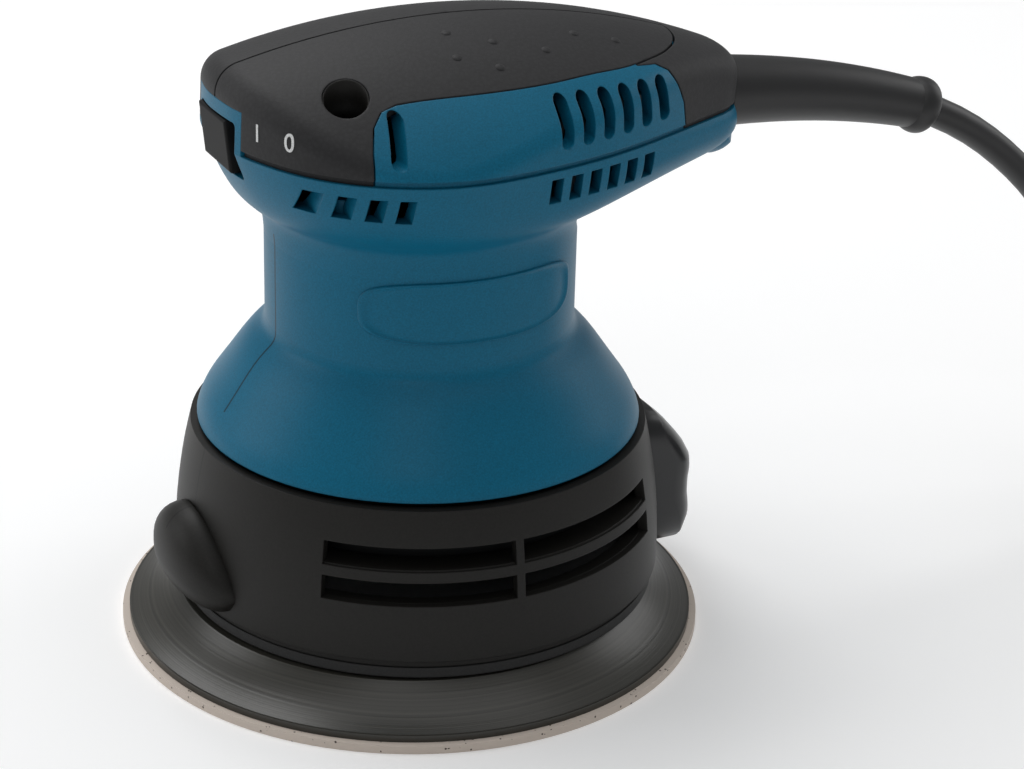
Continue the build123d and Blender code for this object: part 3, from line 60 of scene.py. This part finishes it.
def newMaterial(name):
    material = bpy.data.materials.new(name)
    material.use_nodes = True
    shader = material.node_tree.nodes["Principled BSDF"]
    coords = addNode(material, "ShaderNodeTexCoord").outputs["Object"]
    return material, shader, coords


# base colour, lighter and darker with a tone
def tint(material, shader, colour, tone):
    mixed = addNode(material, "ShaderNodeVectorMath", {"Scale": tone.outputs[0]}, {0: srgb(colour)[:3]},
                    operation="SCALE")
    material.node_tree.links.new(mixed.outputs[0], shader.inputs["Base Color"])


# relief of a surface, its depth in metres
def emboss(material, shader, height, strength, depth, edge=None):
    sources = {"Height": height, "Normal": edge.outputs[0]} if edge else {"Height": height}
    bump = addNode(material, "ShaderNodeBump", sources, {"Strength": strength, "Distance": depth})
    material.node_tree.links.new(bump.outputs[0], shader.inputs["Normal"])


# painted shade: a thin dark line down the front of a moulding, between two heights in millimetres, standing in for
# the shade in its parting groove
def partingShade(material, coords, seamShade):
    split = addNode(material, "ShaderNodeSeparateXYZ", {"Vector": coords})
    away = addNode(material, "ShaderNodeMath", {0: split.outputs["Y"]}, operation="ABSOLUTE")
    line = addNode(material, "ShaderNodeMapRange", {"Value": away.outputs[0]},
                   {"From Min": 0.00012, "From Max": 0.00038, "To Min": 0.85, "To Max": 0.0})
    front = addNode(material, "ShaderNodeMath", {0: split.outputs["X"]}, {1: -0.02}, operation="LESS_THAN")
    middle, half = (seamShade[0] + seamShade[1]) / 2000, (seamShade[1] - seamShade[0]) / 2000
    span = addNode(material, "ShaderNodeMath", {0: split.outputs["Z"]}, {1: middle, 2: half}, operation="COMPARE")
    place = addNode(material, "ShaderNodeMath", {0: front.outputs[0], 1: span.outputs[0]}, operation="MULTIPLY")
    cut = addNode(material, "ShaderNodeMath", {0: line.outputs[0], 1: place.outputs[0]}, operation="MULTIPLY")
    return addNode(material, "ShaderNodeMath", {1: cut.outputs[0]}, {0: 1.0}, operation="SUBTRACT").outputs[0]


# glass-filled polyamide, moulded in a finely spark-eroded tool: even grain that breaks up the highlight
# sizes in millimetres, the grain drawn coarser than it is so that it shows
def mouldedPolyamide(name, colour, grain=0.35, depth=0.012, roughness=0.42, shade=0.06, gloss=0.3, rim=0.35,
                     seamShade=None, shadeBelow=None):
    material, shader, coords = newMaterial(name)
    links = material.node_tree.links
    fine = addNode(material, "ShaderNodeTexNoise", {"Vector": coords}, {"Scale": 1000 / grain, "Detail": 2.0})
    cloud = addNode(material, "ShaderNodeTexNoise", {"Vector": coords}, {"Scale": 60.0, "Detail": 3.0})
    tone = addNode(material, "ShaderNodeMapRange", {"Value": cloud.outputs["Fac"]},
                   {"To Min": 1 - shade, "To Max": 1 + shade})
    speck = addNode(material, "ShaderNodeMapRange", {"Value": fine.outputs["Fac"]},
                    {"From Min": 0.3, "From Max": 0.7, "To Min": 0.86, "To Max": 1.16})
    both = addNode(material, "ShaderNodeMath", {0: tone.outputs[0], 1: speck.outputs[0]}, operation="MULTIPLY")
    # painted shade along the front parting groove
    if seamShade:
        line = partingShade(material, coords, seamShade)
        both = addNode(material, "ShaderNodeMath", {0: both.outputs[0], 1: line}, operation="MULTIPLY")
    edge = addNode(material, "ShaderNodeBevel", values={"Radius": rim / 1000}, samples=4)
    mixed = addNode(material, "ShaderNodeVectorMath", {"Scale": both.outputs[0]}, {0: srgb(colour)[:3]},
                    operation="SCALE")
    # painted shade: below the given height the base colour turns near black, standing in for the shade inside the
    # skirt's vents
    if shadeBelow:
        height = addNode(material, "ShaderNodeSeparateXYZ", {"Vector": coords}).outputs["Z"]
        under = addNode(material, "ShaderNodeMath", {0: height}, {1: shadeBelow[0] / 1000}, operation="LESS_THAN")
        shadedColour = addNode(material, "ShaderNodeMix", {"Factor": under.outputs[0], "A": mixed.outputs[0]},
                        {"B": srgb(shadeBelow[1])}, data_type="RGBA")
        links.new(shadedColour.outputs["Result"], shader.inputs["Base Color"])
    else:
        links.new(mixed.outputs[0], shader.inputs["Base Color"])
    emboss(material, shader, fine.outputs["Fac"], 0.35, depth / 1000, edge)
    shader.inputs["Roughness"].default_value = roughness
    shader.inputs["Specular IOR Level"].default_value = gloss
    shader.inputs["IOR"].default_value = 1.53
    return material


# thermoplastic elastomer, moulded on a leather-grained tool: matt, with small raised cells
def grainedElastomer(name, colour, cell=0.9, depth=0.05, roughness=0.62):
    material, shader, coords = newMaterial(name)
    cells = addNode(material, "ShaderNodeTexVoronoi", {"Vector": coords}, {"Scale": 1000 / cell})
    fine = addNode(material, "ShaderNodeTexNoise", {"Vector": coords}, {"Scale": 4000.0, "Detail": 2.0})
    height = addNode(material, "ShaderNodeMath", {0: cells.outputs["Distance"], 1: fine.outputs["Fac"]},
                     operation="ADD")
    speck = addNode(material, "ShaderNodeMapRange", {"Value": cells.outputs["Distance"]},
                    {"From Min": 0.1, "From Max": 0.7, "To Min": 1.14, "To Max": 0.78})
    tint(material, shader, colour, speck)
    edge = addNode(material, "ShaderNodeBevel", values={"Radius": 0.0005}, samples=4)
    emboss(material, shader, height.outputs[0], 0.5, depth / 1000, edge)
    shader.inputs["Roughness"].default_value = roughness
    shader.inputs["Specular IOR Level"].default_value = 0.4
    shader.inputs["IOR"].default_value = 1.5
    return material


# cast polyurethane foam pad, turned on a lathe: fine rings around its own axis as relief, and light and dark rings
# in the base colour as a painted circular sheen
def turnedPad(name, colour, offset=0.0014):
    material, shader, coords = newMaterial(name)
    split = addNode(material, "ShaderNodeSeparateXYZ", {"Vector": coords})
    offCentre = addNode(material, "ShaderNodeMath", {0: split.outputs["X"]}, {1: offset}, operation="ADD")
    flat = addNode(material, "ShaderNodeCombineXYZ", {"X": offCentre.outputs[0], "Y": split.outputs["Y"]})
    radius = addNode(material, "ShaderNodeVectorMath", {0: flat.outputs[0]}, operation="LENGTH")
    rings = addNode(material, "ShaderNodeTexNoise", {"W": radius.outputs["Value"]},
                    {"Scale": 1600.0, "Detail": 3.0}, noise_dimensions="1D")
    # painted sheen: the rings lighten and darken the base colour
    tone = addNode(material, "ShaderNodeMapRange", {"Value": rings.outputs["Fac"]},
                   {"From Min": 0.3, "From Max": 0.7, "To Min": 0.75, "To Max": 1.3})
    tint(material, shader, colour, tone)
    emboss(material, shader, rings.outputs["Fac"], 0.4, 0.00008)
    shader.inputs["Roughness"].default_value = 0.3
    shader.inputs["IOR"].default_value = 1.5
    return material


# coated abrasive on velour backing: pale paper edge with brown and black grains
def abrasivePaper(name, colour, grains="#3A2E26"):
    material, shader, coords = newMaterial(name)
    dots = addNode(material, "ShaderNodeTexVoronoi", {"Vector": coords}, {"Scale": 900.0, "Randomness": 1.0})
    pick = addNode(material, "ShaderNodeTexNoise", {"Vector": coords}, {"Scale": 500.0, "Detail": 2.0})
    near = addNode(material, "ShaderNodeMath", {0: dots.outputs["Distance"]}, {1: 0.22}, operation="LESS_THAN")
    some = addNode(material, "ShaderNodeMath", {0: pick.outputs["Fac"]}, {1: 0.56}, operation="GREATER_THAN")
    speck = addNode(material, "ShaderNodeMath", {0: near.outputs[0], 1: some.outputs[0]}, operation="MULTIPLY")
    mixed = addNode(material, "ShaderNodeMix", {"Factor": speck.outputs[0]}, {"A": srgb(colour), "B": srgb(grains)},
                    data_type="RGBA")
    material.node_tree.links.new(mixed.outputs["Result"], shader.inputs["Base Color"])
    emboss(material, shader, pick.outputs["Fac"], 0.5, 0.0001)
    shader.inputs["Roughness"].default_value = 0.85
    shader.inputs["IOR"].default_value = 1.5
    return material


# plain metals: machined steel, cast alloy, copper wire and brass, with fine tool marks
def machinedMetal(name, colour, roughness=0.32, stretch=(1.0, 1.0, 1.0)):
    material, shader, coords = newMaterial(name)
    mapping = addNode(material, "ShaderNodeMapping", {"Vector": coords}, {"Scale": stretch})
    marks = addNode(material, "ShaderNodeTexNoise", {"Vector": mapping.outputs[0]}, {"Scale": 900.0, "Detail": 3.0})
    rough = addNode(material, "ShaderNodeMapRange", {"Value": marks.outputs["Fac"]},
                    {"To Min": roughness - 0.08, "To Max": roughness + 0.1})
    material.node_tree.links.new(rough.outputs[0], shader.inputs["Roughness"])
    emboss(material, shader, marks.outputs["Fac"], 0.2, 0.00003)
    shader.inputs["Base Color"].default_value = srgb(colour)
    shader.inputs["Metallic"].default_value = 1.0
    return material


# plasticised polyvinyl chloride sheath, extruded: smooth and half matt
def extrudedSheath(name, colour):
    material, shader, coords = newMaterial(name)
    cloud = addNode(material, "ShaderNodeTexNoise", {"Vector": coords}, {"Scale": 300.0, "Detail": 3.0})
    tone = addNode(material, "ShaderNodeMapRange", {"Value": cloud.outputs["Fac"]}, {"To Min": 0.9, "To Max": 1.1})
    tint(material, shader, colour, tone)
    emboss(material, shader, cloud.outputs["Fac"], 0.15, 0.0001)
    shader.inputs["Roughness"].default_value = 0.45
    shader.inputs["IOR"].default_value = 1.53
    return material


# painted shade: the teal is coloured near black below 47.2 mm, for the shade seen through the skirt's vents
tealPolyamide = mouldedPolyamide("tealPolyamide", "#0A6280", gloss=0.16, seamShade=(54.0, 91.5), shadeBelow=(47.2, "#141516"))
blackPolyamide = mouldedPolyamide("blackPolyamide", "#1B1A18", grain=0.5, depth=0.03, roughness=0.5, gloss=0.22,
                                  seamShade=(30.0, 46.5))
smoothPolyamide = mouldedPolyamide("smoothPolyamide", "#151618", depth=0.003, roughness=0.28, gloss=0.45)
mattPolyamide = mouldedPolyamide("mattPolyamide", "#121213", roughness=0.6, gloss=0.15)
paleInk = mouldedPolyamide("paleInk", "#D9DADA", depth=0.002, rim=0.05)
fanPolyamide = mouldedPolyamide("fanPolyamide", "#34363A")
gripElastomer = grainedElastomer("gripElastomer", "#202022")
padRubber = turnedPad("padRubber", "#35342F")
sealRubber = grainedElastomer("sealRubber", "#232323", cell=0.5, depth=0.02)
discPaper = abrasivePaper("discPaper", "#CFC3B8")
machinedSteel = machinedMetal("machinedSteel", "#A9ABAE")
groundSteel = machinedMetal("groundSteel", "#BDBFC2", roughness=0.18)
castAlloy = machinedMetal("castAlloy", "#A4A6A8", roughness=0.45)
laminatedSteel = machinedMetal("laminatedSteel", "#6E6F72", roughness=0.5, stretch=(0.1, 0.1, 4.0))
copperWire = machinedMetal("copperWire", "#B46A3C", roughness=0.3, stretch=(0.3, 0.3, 2.0))
stampedBrass = machinedMetal("stampedBrass", "#C9A25A")
carbonBlock = mouldedPolyamide("carbonBlock", "#1D1D1F", roughness=0.6)
cordSheath = extrudedSheath("cordSheath", "#1C1C1D")

finishes = {
    "sanding_disc": discPaper, "sanding_pad": padRubber, "brake_ring": sealRubber, "bearing_sleeve": sealRubber,
    "dust_skirt": blackPolyamide, "dust_nozzle": blackPolyamide, "switch_lever": mattPolyamide,
    "switch_body": smoothPolyamide, "capacitor": smoothPolyamide, "cord_clamp": blackPolyamide,
    "motor_housing": tealPolyamide, "handle_shell": tealPolyamide, "grip_left": gripElastomer,
    "grip_right": gripElastomer, "rear_cap": gripElastomer, "cord_guard": cordSheath, "power_cord": cordSheath,
    "cord_coil": cordSheath, "plug_body": cordSheath, "lead_wires": cordSheath, "bearing_bracket": castAlloy,
    "eccentric_hub": castAlloy, "baffle_plate": castAlloy, "armature_core": laminatedSteel,
    "field_core": laminatedSteel, "counterweight": machinedSteel, "armature_winding": copperWire,
    "field_coils": copperWire, "commutator": copperWire, "brush_holders": stampedBrass, "plug_pins": stampedBrass,
    "carbon_brushes": carbonBlock, "dust_fan": fanPolyamide, "cooling_fan": fanPolyamide, "deck_plate": fanPolyamide,
}
for name, piece in nodes.items():
    finish = finishes.get(name) or (groundSteel if "bearing" in name else machinedSteel)
    piece.data.materials.clear()
    piece.data.materials.append(finish)
print("materials set")


# finished mesh object that rides on a body
def addPiece(name, mesh, material, body):
    piece = bpy.data.objects.new(name, mesh)
    bpy.context.collection.objects.link(piece)
    piece.data.materials.append(material)
    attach(piece, body)
    return piece


# mesh in metres from a shape worked in millimetres, normals outward
def finishMesh(shape, name):
    bmesh.ops.remove_doubles(shape, verts=shape.verts, dist=0.0005)
    bmesh.ops.recalc_face_normals(shape, faces=shape.faces)
    bmesh.ops.scale(shape, vec=(0.001, 0.001, 0.001), verts=shape.verts)
    for face in shape.faces:
        face.smooth = True
    mesh = bpy.data.meshes.new(name)
    shape.to_mesh(mesh)
    shape.free()
    return mesh


# closed loop of a unit circle whose corners are moved by a rule
def addLoop(shape, corners, rule):
    made = bmesh.ops.create_circle(shape, segments=corners, radius=1.0)
    edges = list({edge for vert in made["verts"] for edge in vert.link_edges})
    for vert in made["verts"]:
        vert.co = rule(vert.co.x, vert.co.y)
    return edges


def bridge(shape, loops):
    for first, second in zip(loops, loops[1:]):
        bmesh.ops.bridge_loops(shape, edges=first + second)


# value at a height between listed heights
def between(rows, height):
    for (low, lowValue), (high, highValue) in zip(rows, rows[1:]):
        if height <= high:
            share = max(0, (height - low) / (high - low))
            return lowValue + (highValue - lowValue) * share
    return rows[-1][1]


# boss at the front of the skirt, swelling out of its wall
boss = {"facing": 180, "halfAngle": 20, "end": 20.0, "above": 13.95, "below": 5.5, "reach": 7.0, "wall": 51.3,
        "root": 1.5, "span": 0.99, "stations": 21, "corners": 32}


def makeBoss():
    shape = bmesh.new()
    loops = []
    for station in range(boss["stations"]):
        along = boss["span"] * (2 * station / (boss["stations"] - 1) - 1)
        top = boss["end"] + boss["above"] * (1 - along ** 2) ** 0.8
        bottom = boss["end"] - boss["below"] * (1 - along ** 4) ** 0.5
        middle, halfHeight = (top + bottom) / 2, (top - bottom) / 2
        reach = boss["reach"] * (1 - abs(along) ** 2.4) ** 0.6
        angle = radians(boss["facing"] + boss["halfAngle"] * along)

        def section(side, rise):
            out = reach * sqrt(max(0, 1 - abs(rise) ** 2.4)) if side > 0 else boss["root"] * side
            away = boss["wall"] + out
            return away * cos(angle), away * sin(angle), middle + halfHeight * rise
        loops.append(addLoop(shape, boss["corners"], section))
    bridge(shape, loops)
    for end in (loops[0], loops[-1]):
        bmesh.ops.contextual_create(shape, geom=end)
    return finishMesh(shape, "skirtBoss")


addPiece("skirtBoss", makeBoss(), blackPolyamide, "housing")

# hood over the dust outlet: its rear face, as distance at each height, with rounded sides and a hole
hood = {"face": [(10.6, 53.2), (12.0, 56.2), (14.0, 58.2), (17.5, 59.5), (20.0, 59.5), (22.5, 59.1), (26.5, 59.1),
                 (29.0, 59.4), (31.5, 59.2), (35.0, 57.3), (37.8, 55.2), (41.7, 51.8), (45.0, 48.0)],
        "halfWidth": 18.5, "round": 6.0, "middle": 27.8, "halfHeight": 17.2, "hole": 7.85, "holeHeight": 23.2,
        "root": 50.2, "holeStart": 56.0, "holeEdge": 0.5, "leanFrom": 30, "lean": 0.3, "corners": 96,
        "rings": (0.06, 0.2, 0.35, 0.5, 0.65, 0.8, 0.9, 0.96, 1)}


def makeHood():
    shape = bmesh.new()

    def face(share, depth=0.0):
        def place(side, rise):
            power = (abs(side) ** 5 + abs(rise) ** 5) ** 0.2
            y = (1 - share) * hood["hole"] * side + share * hood["halfWidth"] * side / power
            z = ((1 - share) * (hood["holeHeight"] + hood["hole"] * rise)
                 + share * (hood["middle"] + hood["halfHeight"] * rise / power))
            over = max(0, abs(y) - hood["halfWidth"] + hood["round"])
            drop = hood["round"] - sqrt(max(0, hood["round"] ** 2 - over ** 2))
            return between(hood["face"], z) - drop - depth, y, z
        return place

    def root(side, rise):
        x, y, z = face(1)(side, rise)
        wall = sqrt(hood["root"] ** 2 - y ** 2) - max(0, z - hood["leanFrom"]) * hood["lean"]
        return min(x, wall), y, z

    def inner(side, rise):
        return hood["holeStart"], hood["hole"] * side, hood["holeHeight"] + hood["hole"] * rise
    rules = [inner, face(0, hood["holeEdge"]), *[face(share) for share in hood["rings"]], root]
    bridge(shape, [addLoop(shape, hood["corners"], rule) for rule in rules])
    return finishMesh(shape, "portHood")


addPiece("portHood", makeHood(), smoothPolyamide, "housing")

# bare raised plate on the side of the neck, an oval with a thin edge
plaque = {"radius": 32.4, "from": 223, "to": 313, "bottom": 75.5, "top": 88.8, "power": 3.4, "corners": 96,
          "steps": [(1.0, -0.3), (1.0, 0.35), (0.985, 0.5), (0.955, 0.5), (0.94, 0.25),
                    *[(share / 100, 0.25) for share in range(85, 0, -10)]]}


def makePlaque():
    shape = bmesh.new()
    middle = ((plaque["from"] + plaque["to"]) / 2, (plaque["bottom"] + plaque["top"]) / 2)
    half = ((plaque["to"] - plaque["from"]) / 2, (plaque["top"] - plaque["bottom"]) / 2)
    loops = []
    for share, rise in plaque["steps"]:
        def place(side, height):
            power = (abs(side) ** plaque["power"] + abs(height) ** plaque["power"]) ** (1 / plaque["power"])
            angle = radians(middle[0] + half[0] * share * side / power)
            away = plaque["radius"] + rise
            return away * cos(angle), away * sin(angle), middle[1] + half[1] * share * height / power
        loops.append(addLoop(shape, plaque["corners"], place))
    bridge(shape, loops)
    bmesh.ops.contextual_create(shape, geom=loops[-1])
    return finishMesh(shape, "neckPlaque")


addPiece("neckPlaque", makePlaque(), tealPolyamide, "housing")

# black sleeves in the two front screw wells, painted shade: they stand in for the shade deep inside the wells
shadeSleeves = {"places": [(-26.0, -21.4), (-26.0, 21.4)], "inner": 4.25, "outer": 4.55, "bottom": 118.25,
          "blankTop": 140.0, "rimHeight": 0.15, "rimWidth": 0.1, "drop": 0.4, "reach": 1.2}
graph = bpy.context.evaluated_depsgraph_get()
gripSkin = {name: BVHTree.FromObject(nodes[name], graph) for name in ("grip_left", "grip_right")}


# point and normal of the grips under a place in plan
def onGrip(x, y):
    skin = gripSkin["grip_left" if y > 0 else "grip_right"]
    place, normal, _, _ = skin.ray_cast(Vector((x / 1000, y / 1000, 0.2)), Vector((0, 0, -1)))
    return (place * 1000, normal) if place else None


def makeShadeSleeve(x, y):
    inner, outer, top = shadeSleeves["inner"], shadeSleeves["outer"], shadeSleeves["blankTop"]
    rim, shoulder = shadeSleeves["rimWidth"], top - shadeSleeves["rimHeight"]
    shape = bmesh.new()
    corners = [(inner, shadeSleeves["bottom"]), (outer, shadeSleeves["bottom"]), (outer, shoulder),
               (outer - rim, top), (inner + rim, top), (inner, shoulder)]
    verts = [shape.verts.new((x + radius, y, height)) for radius, height in corners]
    edges = [shape.edges.new((verts[i - 1], verts[i])) for i in range(len(verts))]
    bmesh.ops.spin(shape, geom=verts + edges, cent=(x, y, 0), axis=(0, 0, 1), angle=2 * pi, steps=40, use_merge=True)
    for vert in shape.verts:
        if vert.co.z > top - 1:
            beside = onGrip(x + (vert.co.x - x) * shadeSleeves["reach"], y + (vert.co.y - y) * shadeSleeves["reach"])
            vert.co.z += beside[0].z - shadeSleeves["drop"] - top
    return finishMesh(shape, "wellShadeSleeve")


for name, place in zip(("wellShadeSleeveRight", "wellShadeSleeveLeft"), shadeSleeves["places"]):
    addPiece(name, makeShadeSleeve(*place), blackPolyamide, "housing")

# small round nubs on the grip
nubs = {"places": [(0.5, -9.8), (8.5, -14.6), (-1.0, -18.2), (6.5, -22.1), (18.6, -18.1), (27.8, -12.2),
                   (36.6, -13.8)],
        "arc": [(0, 0.3), (0.45, 0.27), (0.8, 0.18), (1.0, 0.06), (1.2, -0.3)]}


def makeNubs():
    shape = bmesh.new()
    for place in nubs["places"]:
        point, normal = onGrip(*place)
        turn = Vector((0, 0, 1)).rotation_difference(normal).to_matrix()
        verts = [shape.verts.new(point + turn @ Vector((radius, 0, height))) for radius, height in nubs["arc"]]
        edges = [shape.edges.new(pair) for pair in zip(verts, verts[1:])]
        bmesh.ops.spin(shape, geom=verts + edges, cent=point, axis=normal, angle=2 * pi, steps=20, use_merge=True)
    return finishMesh(shape, "gripNubs")


addPiece("gripNubs", makeNubs(), gripElastomer, "housing")

# printed switch marks
marks = {"1": (-41.9, -15.65, 119.0), "0": (-38.3, -23.0, 118.9), "size": 5.0, "weight": 0.05, "lift": 0.1,
         "above": 5, "right": Vector((0.897, -0.442, 0.0)), "seenFrom": Vector((-226.89, -491.76, 297.34))}


def makeMark(text):
    letter = bpy.data.curves.new("mark" + text, "FONT")
    letter.body = text
    letter.size = marks["size"]
    letter.offset = marks["weight"]
    letter.align_x = "CENTER"
    letter.align_y = "CENTER"
    holder = bpy.data.objects.new("markCurve", letter)
    shape = bmesh.new()
    shape.from_mesh(holder.to_mesh())
    bpy.data.objects.remove(holder)
    bmesh.ops.triangulate(shape, faces=shape.faces)
    bmesh.ops.subdivide_edges(shape, edges=shape.edges, cuts=3)
    sight = (Vector(marks[text]) - marks["seenFrom"]).normalized()
    point, normal, _, _ = gripSkin["grip_right"].ray_cast(marks["seenFrom"] / 1000, sight)
    point = point * 1000
    up = normal.cross(marks["right"]).normalized()
    across = up.cross(normal)
    for vert in shape.verts:
        flat = point + across * vert.co.x + up * vert.co.y
        start = (flat + normal * marks["above"]) / 1000
        place, facing, _, _ = gripSkin["grip_right"].ray_cast(start, -normal)
        vert.co = place * 1000 + facing * marks["lift"] if place else flat
    return finishMesh(shape, "mark" + text)


for text in "10":
    addPiece("mark" + text, makeMark(text), paleInk, "housing")
print("pieces made")

# mains lead: down from the guard, round the put-away coil and into the plug, in millimetres
lead = {
    "route": [(52, 0, 110.7), (92, 0, 107.2), (128, 0, 98.4), (156, 0, 77.5), (173.5, -6.5, 49.5),
              (191.35, -14.85, 24.13)],
    "centre": (212.0, -60.0), "radius": 3.5, "meanRadius": 42.0, "pointsPerTurn": 16,
    "leaveAngle": 200, "bend": 28.5, "plugHeight": 34.11, "length": 2.0,
}


def coilPoints():
    thick = 2 * lead["radius"]
    inner, outer = lead["meanRadius"] - thick / 2, lead["meanRadius"] + thick / 2
    rows = [thick * (row + 0.5) for row in range(3)]
    top = rows[2] + thick * sin(radians(60))
    rings = [(outer, rows[2]), (outer, rows[1]), (outer, rows[0]), (inner, rows[0]), (inner, rows[1]),
             (inner, rows[2]), (lead["meanRadius"], top)]
    count = lead["pointsPerTurn"]
    points = []
    for ring, (radius, height) in enumerate(rings):
        following = rings[min(ring + 1, 6)]
        for step in range(count):
            angle = 90 - 360 * step / count
            if ring == 6 and angle < lead["leaveAngle"] - 360:
                break
            share = max(0, (step - count + 4) / 4)
            reach = radius + (following[0] - radius) * share
            points.append((lead["centre"][0] + reach * cos(radians(angle)),
                           lead["centre"][1] + reach * sin(radians(angle)),
                           height + (following[1] - height) * share))
    away = radians(lead["leaveAngle"])
    inward = lead["meanRadius"] - lead["bend"]
    bendCentre = (lead["centre"][0] + inward * cos(away), lead["centre"][1] + inward * sin(away))
    for step in range(1, 7):
        angle = radians(lead["leaveAngle"] + (90 - lead["leaveAngle"]) * step / 6)
        rise = (1 - cos(pi * step / 6)) / 2
        points.append((bendCentre[0] + lead["bend"] * cos(angle), bendCentre[1] + lead["bend"] * sin(angle),
                       top + (lead["plugHeight"] - top) * rise))
    points.append((points[-1][0] + 3.0, points[-1][1], lead["plugHeight"]))
    return points


leadCurve = bpy.data.curves.new("mainsLead", "CURVE")
leadCurve.dimensions = "3D"
leadCurve.bevel_depth = lead["radius"] / 1000
leadCurve.bevel_resolution = 6
leadCurve.resolution_u = 6
leadCurve.use_fill_caps = True
spline = leadCurve.splines.new("NURBS")
leadPoints = lead["route"] + coilPoints()
spline.points.add(len(leadPoints) - 1)
for point, place in zip(spline.points, leadPoints):
    point.co = (*[value / 1000 for value in place], 1)
spline.order_u = 3
spline.use_endpoint_u = True
leadCurve.materials.append(cordSheath)
mainsLead = bpy.data.objects.new("mainsLead", leadCurve)
bpy.context.collection.objects.link(mainsLead)
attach(mainsLead, "housing")
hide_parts("power_cord", "cord_coil")
print("lead made")

# floor and light
studio = {"floorSize": 6.0, "floorColour": "#FDFDFD", "world": 0.32, "lift": 0.1}
floorMesh = bpy.data.meshes.new("floor")
shape = bmesh.new()
bmesh.ops.create_grid(shape, x_segments=1, y_segments=1, size=studio["floorSize"])
shape.to_mesh(floorMesh)
shape.free()
floor = bpy.data.objects.new("floor", floorMesh)
bpy.context.collection.objects.link(floor)
floorPaint, floorShader, _ = newMaterial("matPaper")
floorShader.inputs["Base Color"].default_value = srgb(studio["floorColour"])
floorShader.inputs["Roughness"].default_value = 0.9
rays = addNode(floorPaint, "ShaderNodeLightPath")
seen = addNode(floorPaint, "ShaderNodeMath", {0: rays.outputs["Is Camera Ray"], 1: rays.outputs["Is Glossy Ray"]},
               operation="MAXIMUM")
seen = addNode(floorPaint, "ShaderNodeMath", {0: seen.outputs[0], 1: rays.outputs["Is Transmission Ray"]},
               operation="MAXIMUM")
lift = addNode(floorPaint, "ShaderNodeMath", {0: seen.outputs[0]}, {1: studio["lift"]}, operation="MULTIPLY")
floorShader.inputs["Emission Color"].default_value = (1, 1, 1, 1)
floorPaint.node_tree.links.new(lift.outputs[0], floorShader.inputs["Emission Strength"])
floorMesh.materials.append(floorPaint)

world = bpy.data.worlds.new("studio")
bpy.context.scene.world = world
world.use_nodes = True
background = world.node_tree.nodes["Background"]
background.inputs["Color"].default_value = srgb("#F4F5F6")
background.inputs["Strength"].default_value = studio["world"]


# square lamp aimed at a point of the object
def addLamp(name, place, aim, power, size):
    data = bpy.data.lights.new(name, "AREA")
    data.energy = power
    data.size = size
    lamp = bpy.data.objects.new(name, data)
    lamp.location = place
    lamp.rotation_euler = (Vector(aim) - Vector(place)).to_track_quat("-Z", "Y").to_euler()
    bpy.context.collection.objects.link(lamp)


addLamp("topLamp", (0.05, 0.0, 1.35), (0, 0, 0.07), 4.2, 1.3)
addLamp("backLamp", (-0.1, 0.75, 1.1), (0, 0, 0.04), 6.5, 0.8)
addLamp("leftLamp", (-0.85, 0.5, 0.5), (0, 0, 0.07), 2.4, 0.6)
addLamp("frontLamp", (-0.5, -0.85, 1.0), (0, 0, 0.05), 1.2, 0.5)
addLamp("rightLamp", (1.1, 0.1, 0.5), (0, 0, 0.07), 2.0, 0.6)

# camera at the photograph's view
view = {"place": (-0.22689, -0.49176, 0.29734), "azimuth": -26.86, "elevation": 24.30, "roll": 1.55, "lens": 98.44}
cameraData = bpy.data.cameras.new("camera")
cameraData.lens = view["lens"]
cameraData.sensor_width = 36.0
camera = bpy.data.objects.new("camera", cameraData)
turn = Matrix.Rotation(radians(view["azimuth"]), 4, "Z") @ Matrix.Rotation(radians(90 - view["elevation"]), 4, "X")
camera.matrix_world = Matrix.Translation(view["place"]) @ turn @ Matrix.Rotation(radians(view["roll"]), 4, "Z")
bpy.context.collection.objects.link(camera)
bpy.context.scene.camera = camera
bpy.context.scene.view_settings.view_transform = "Standard"
print("studio set")
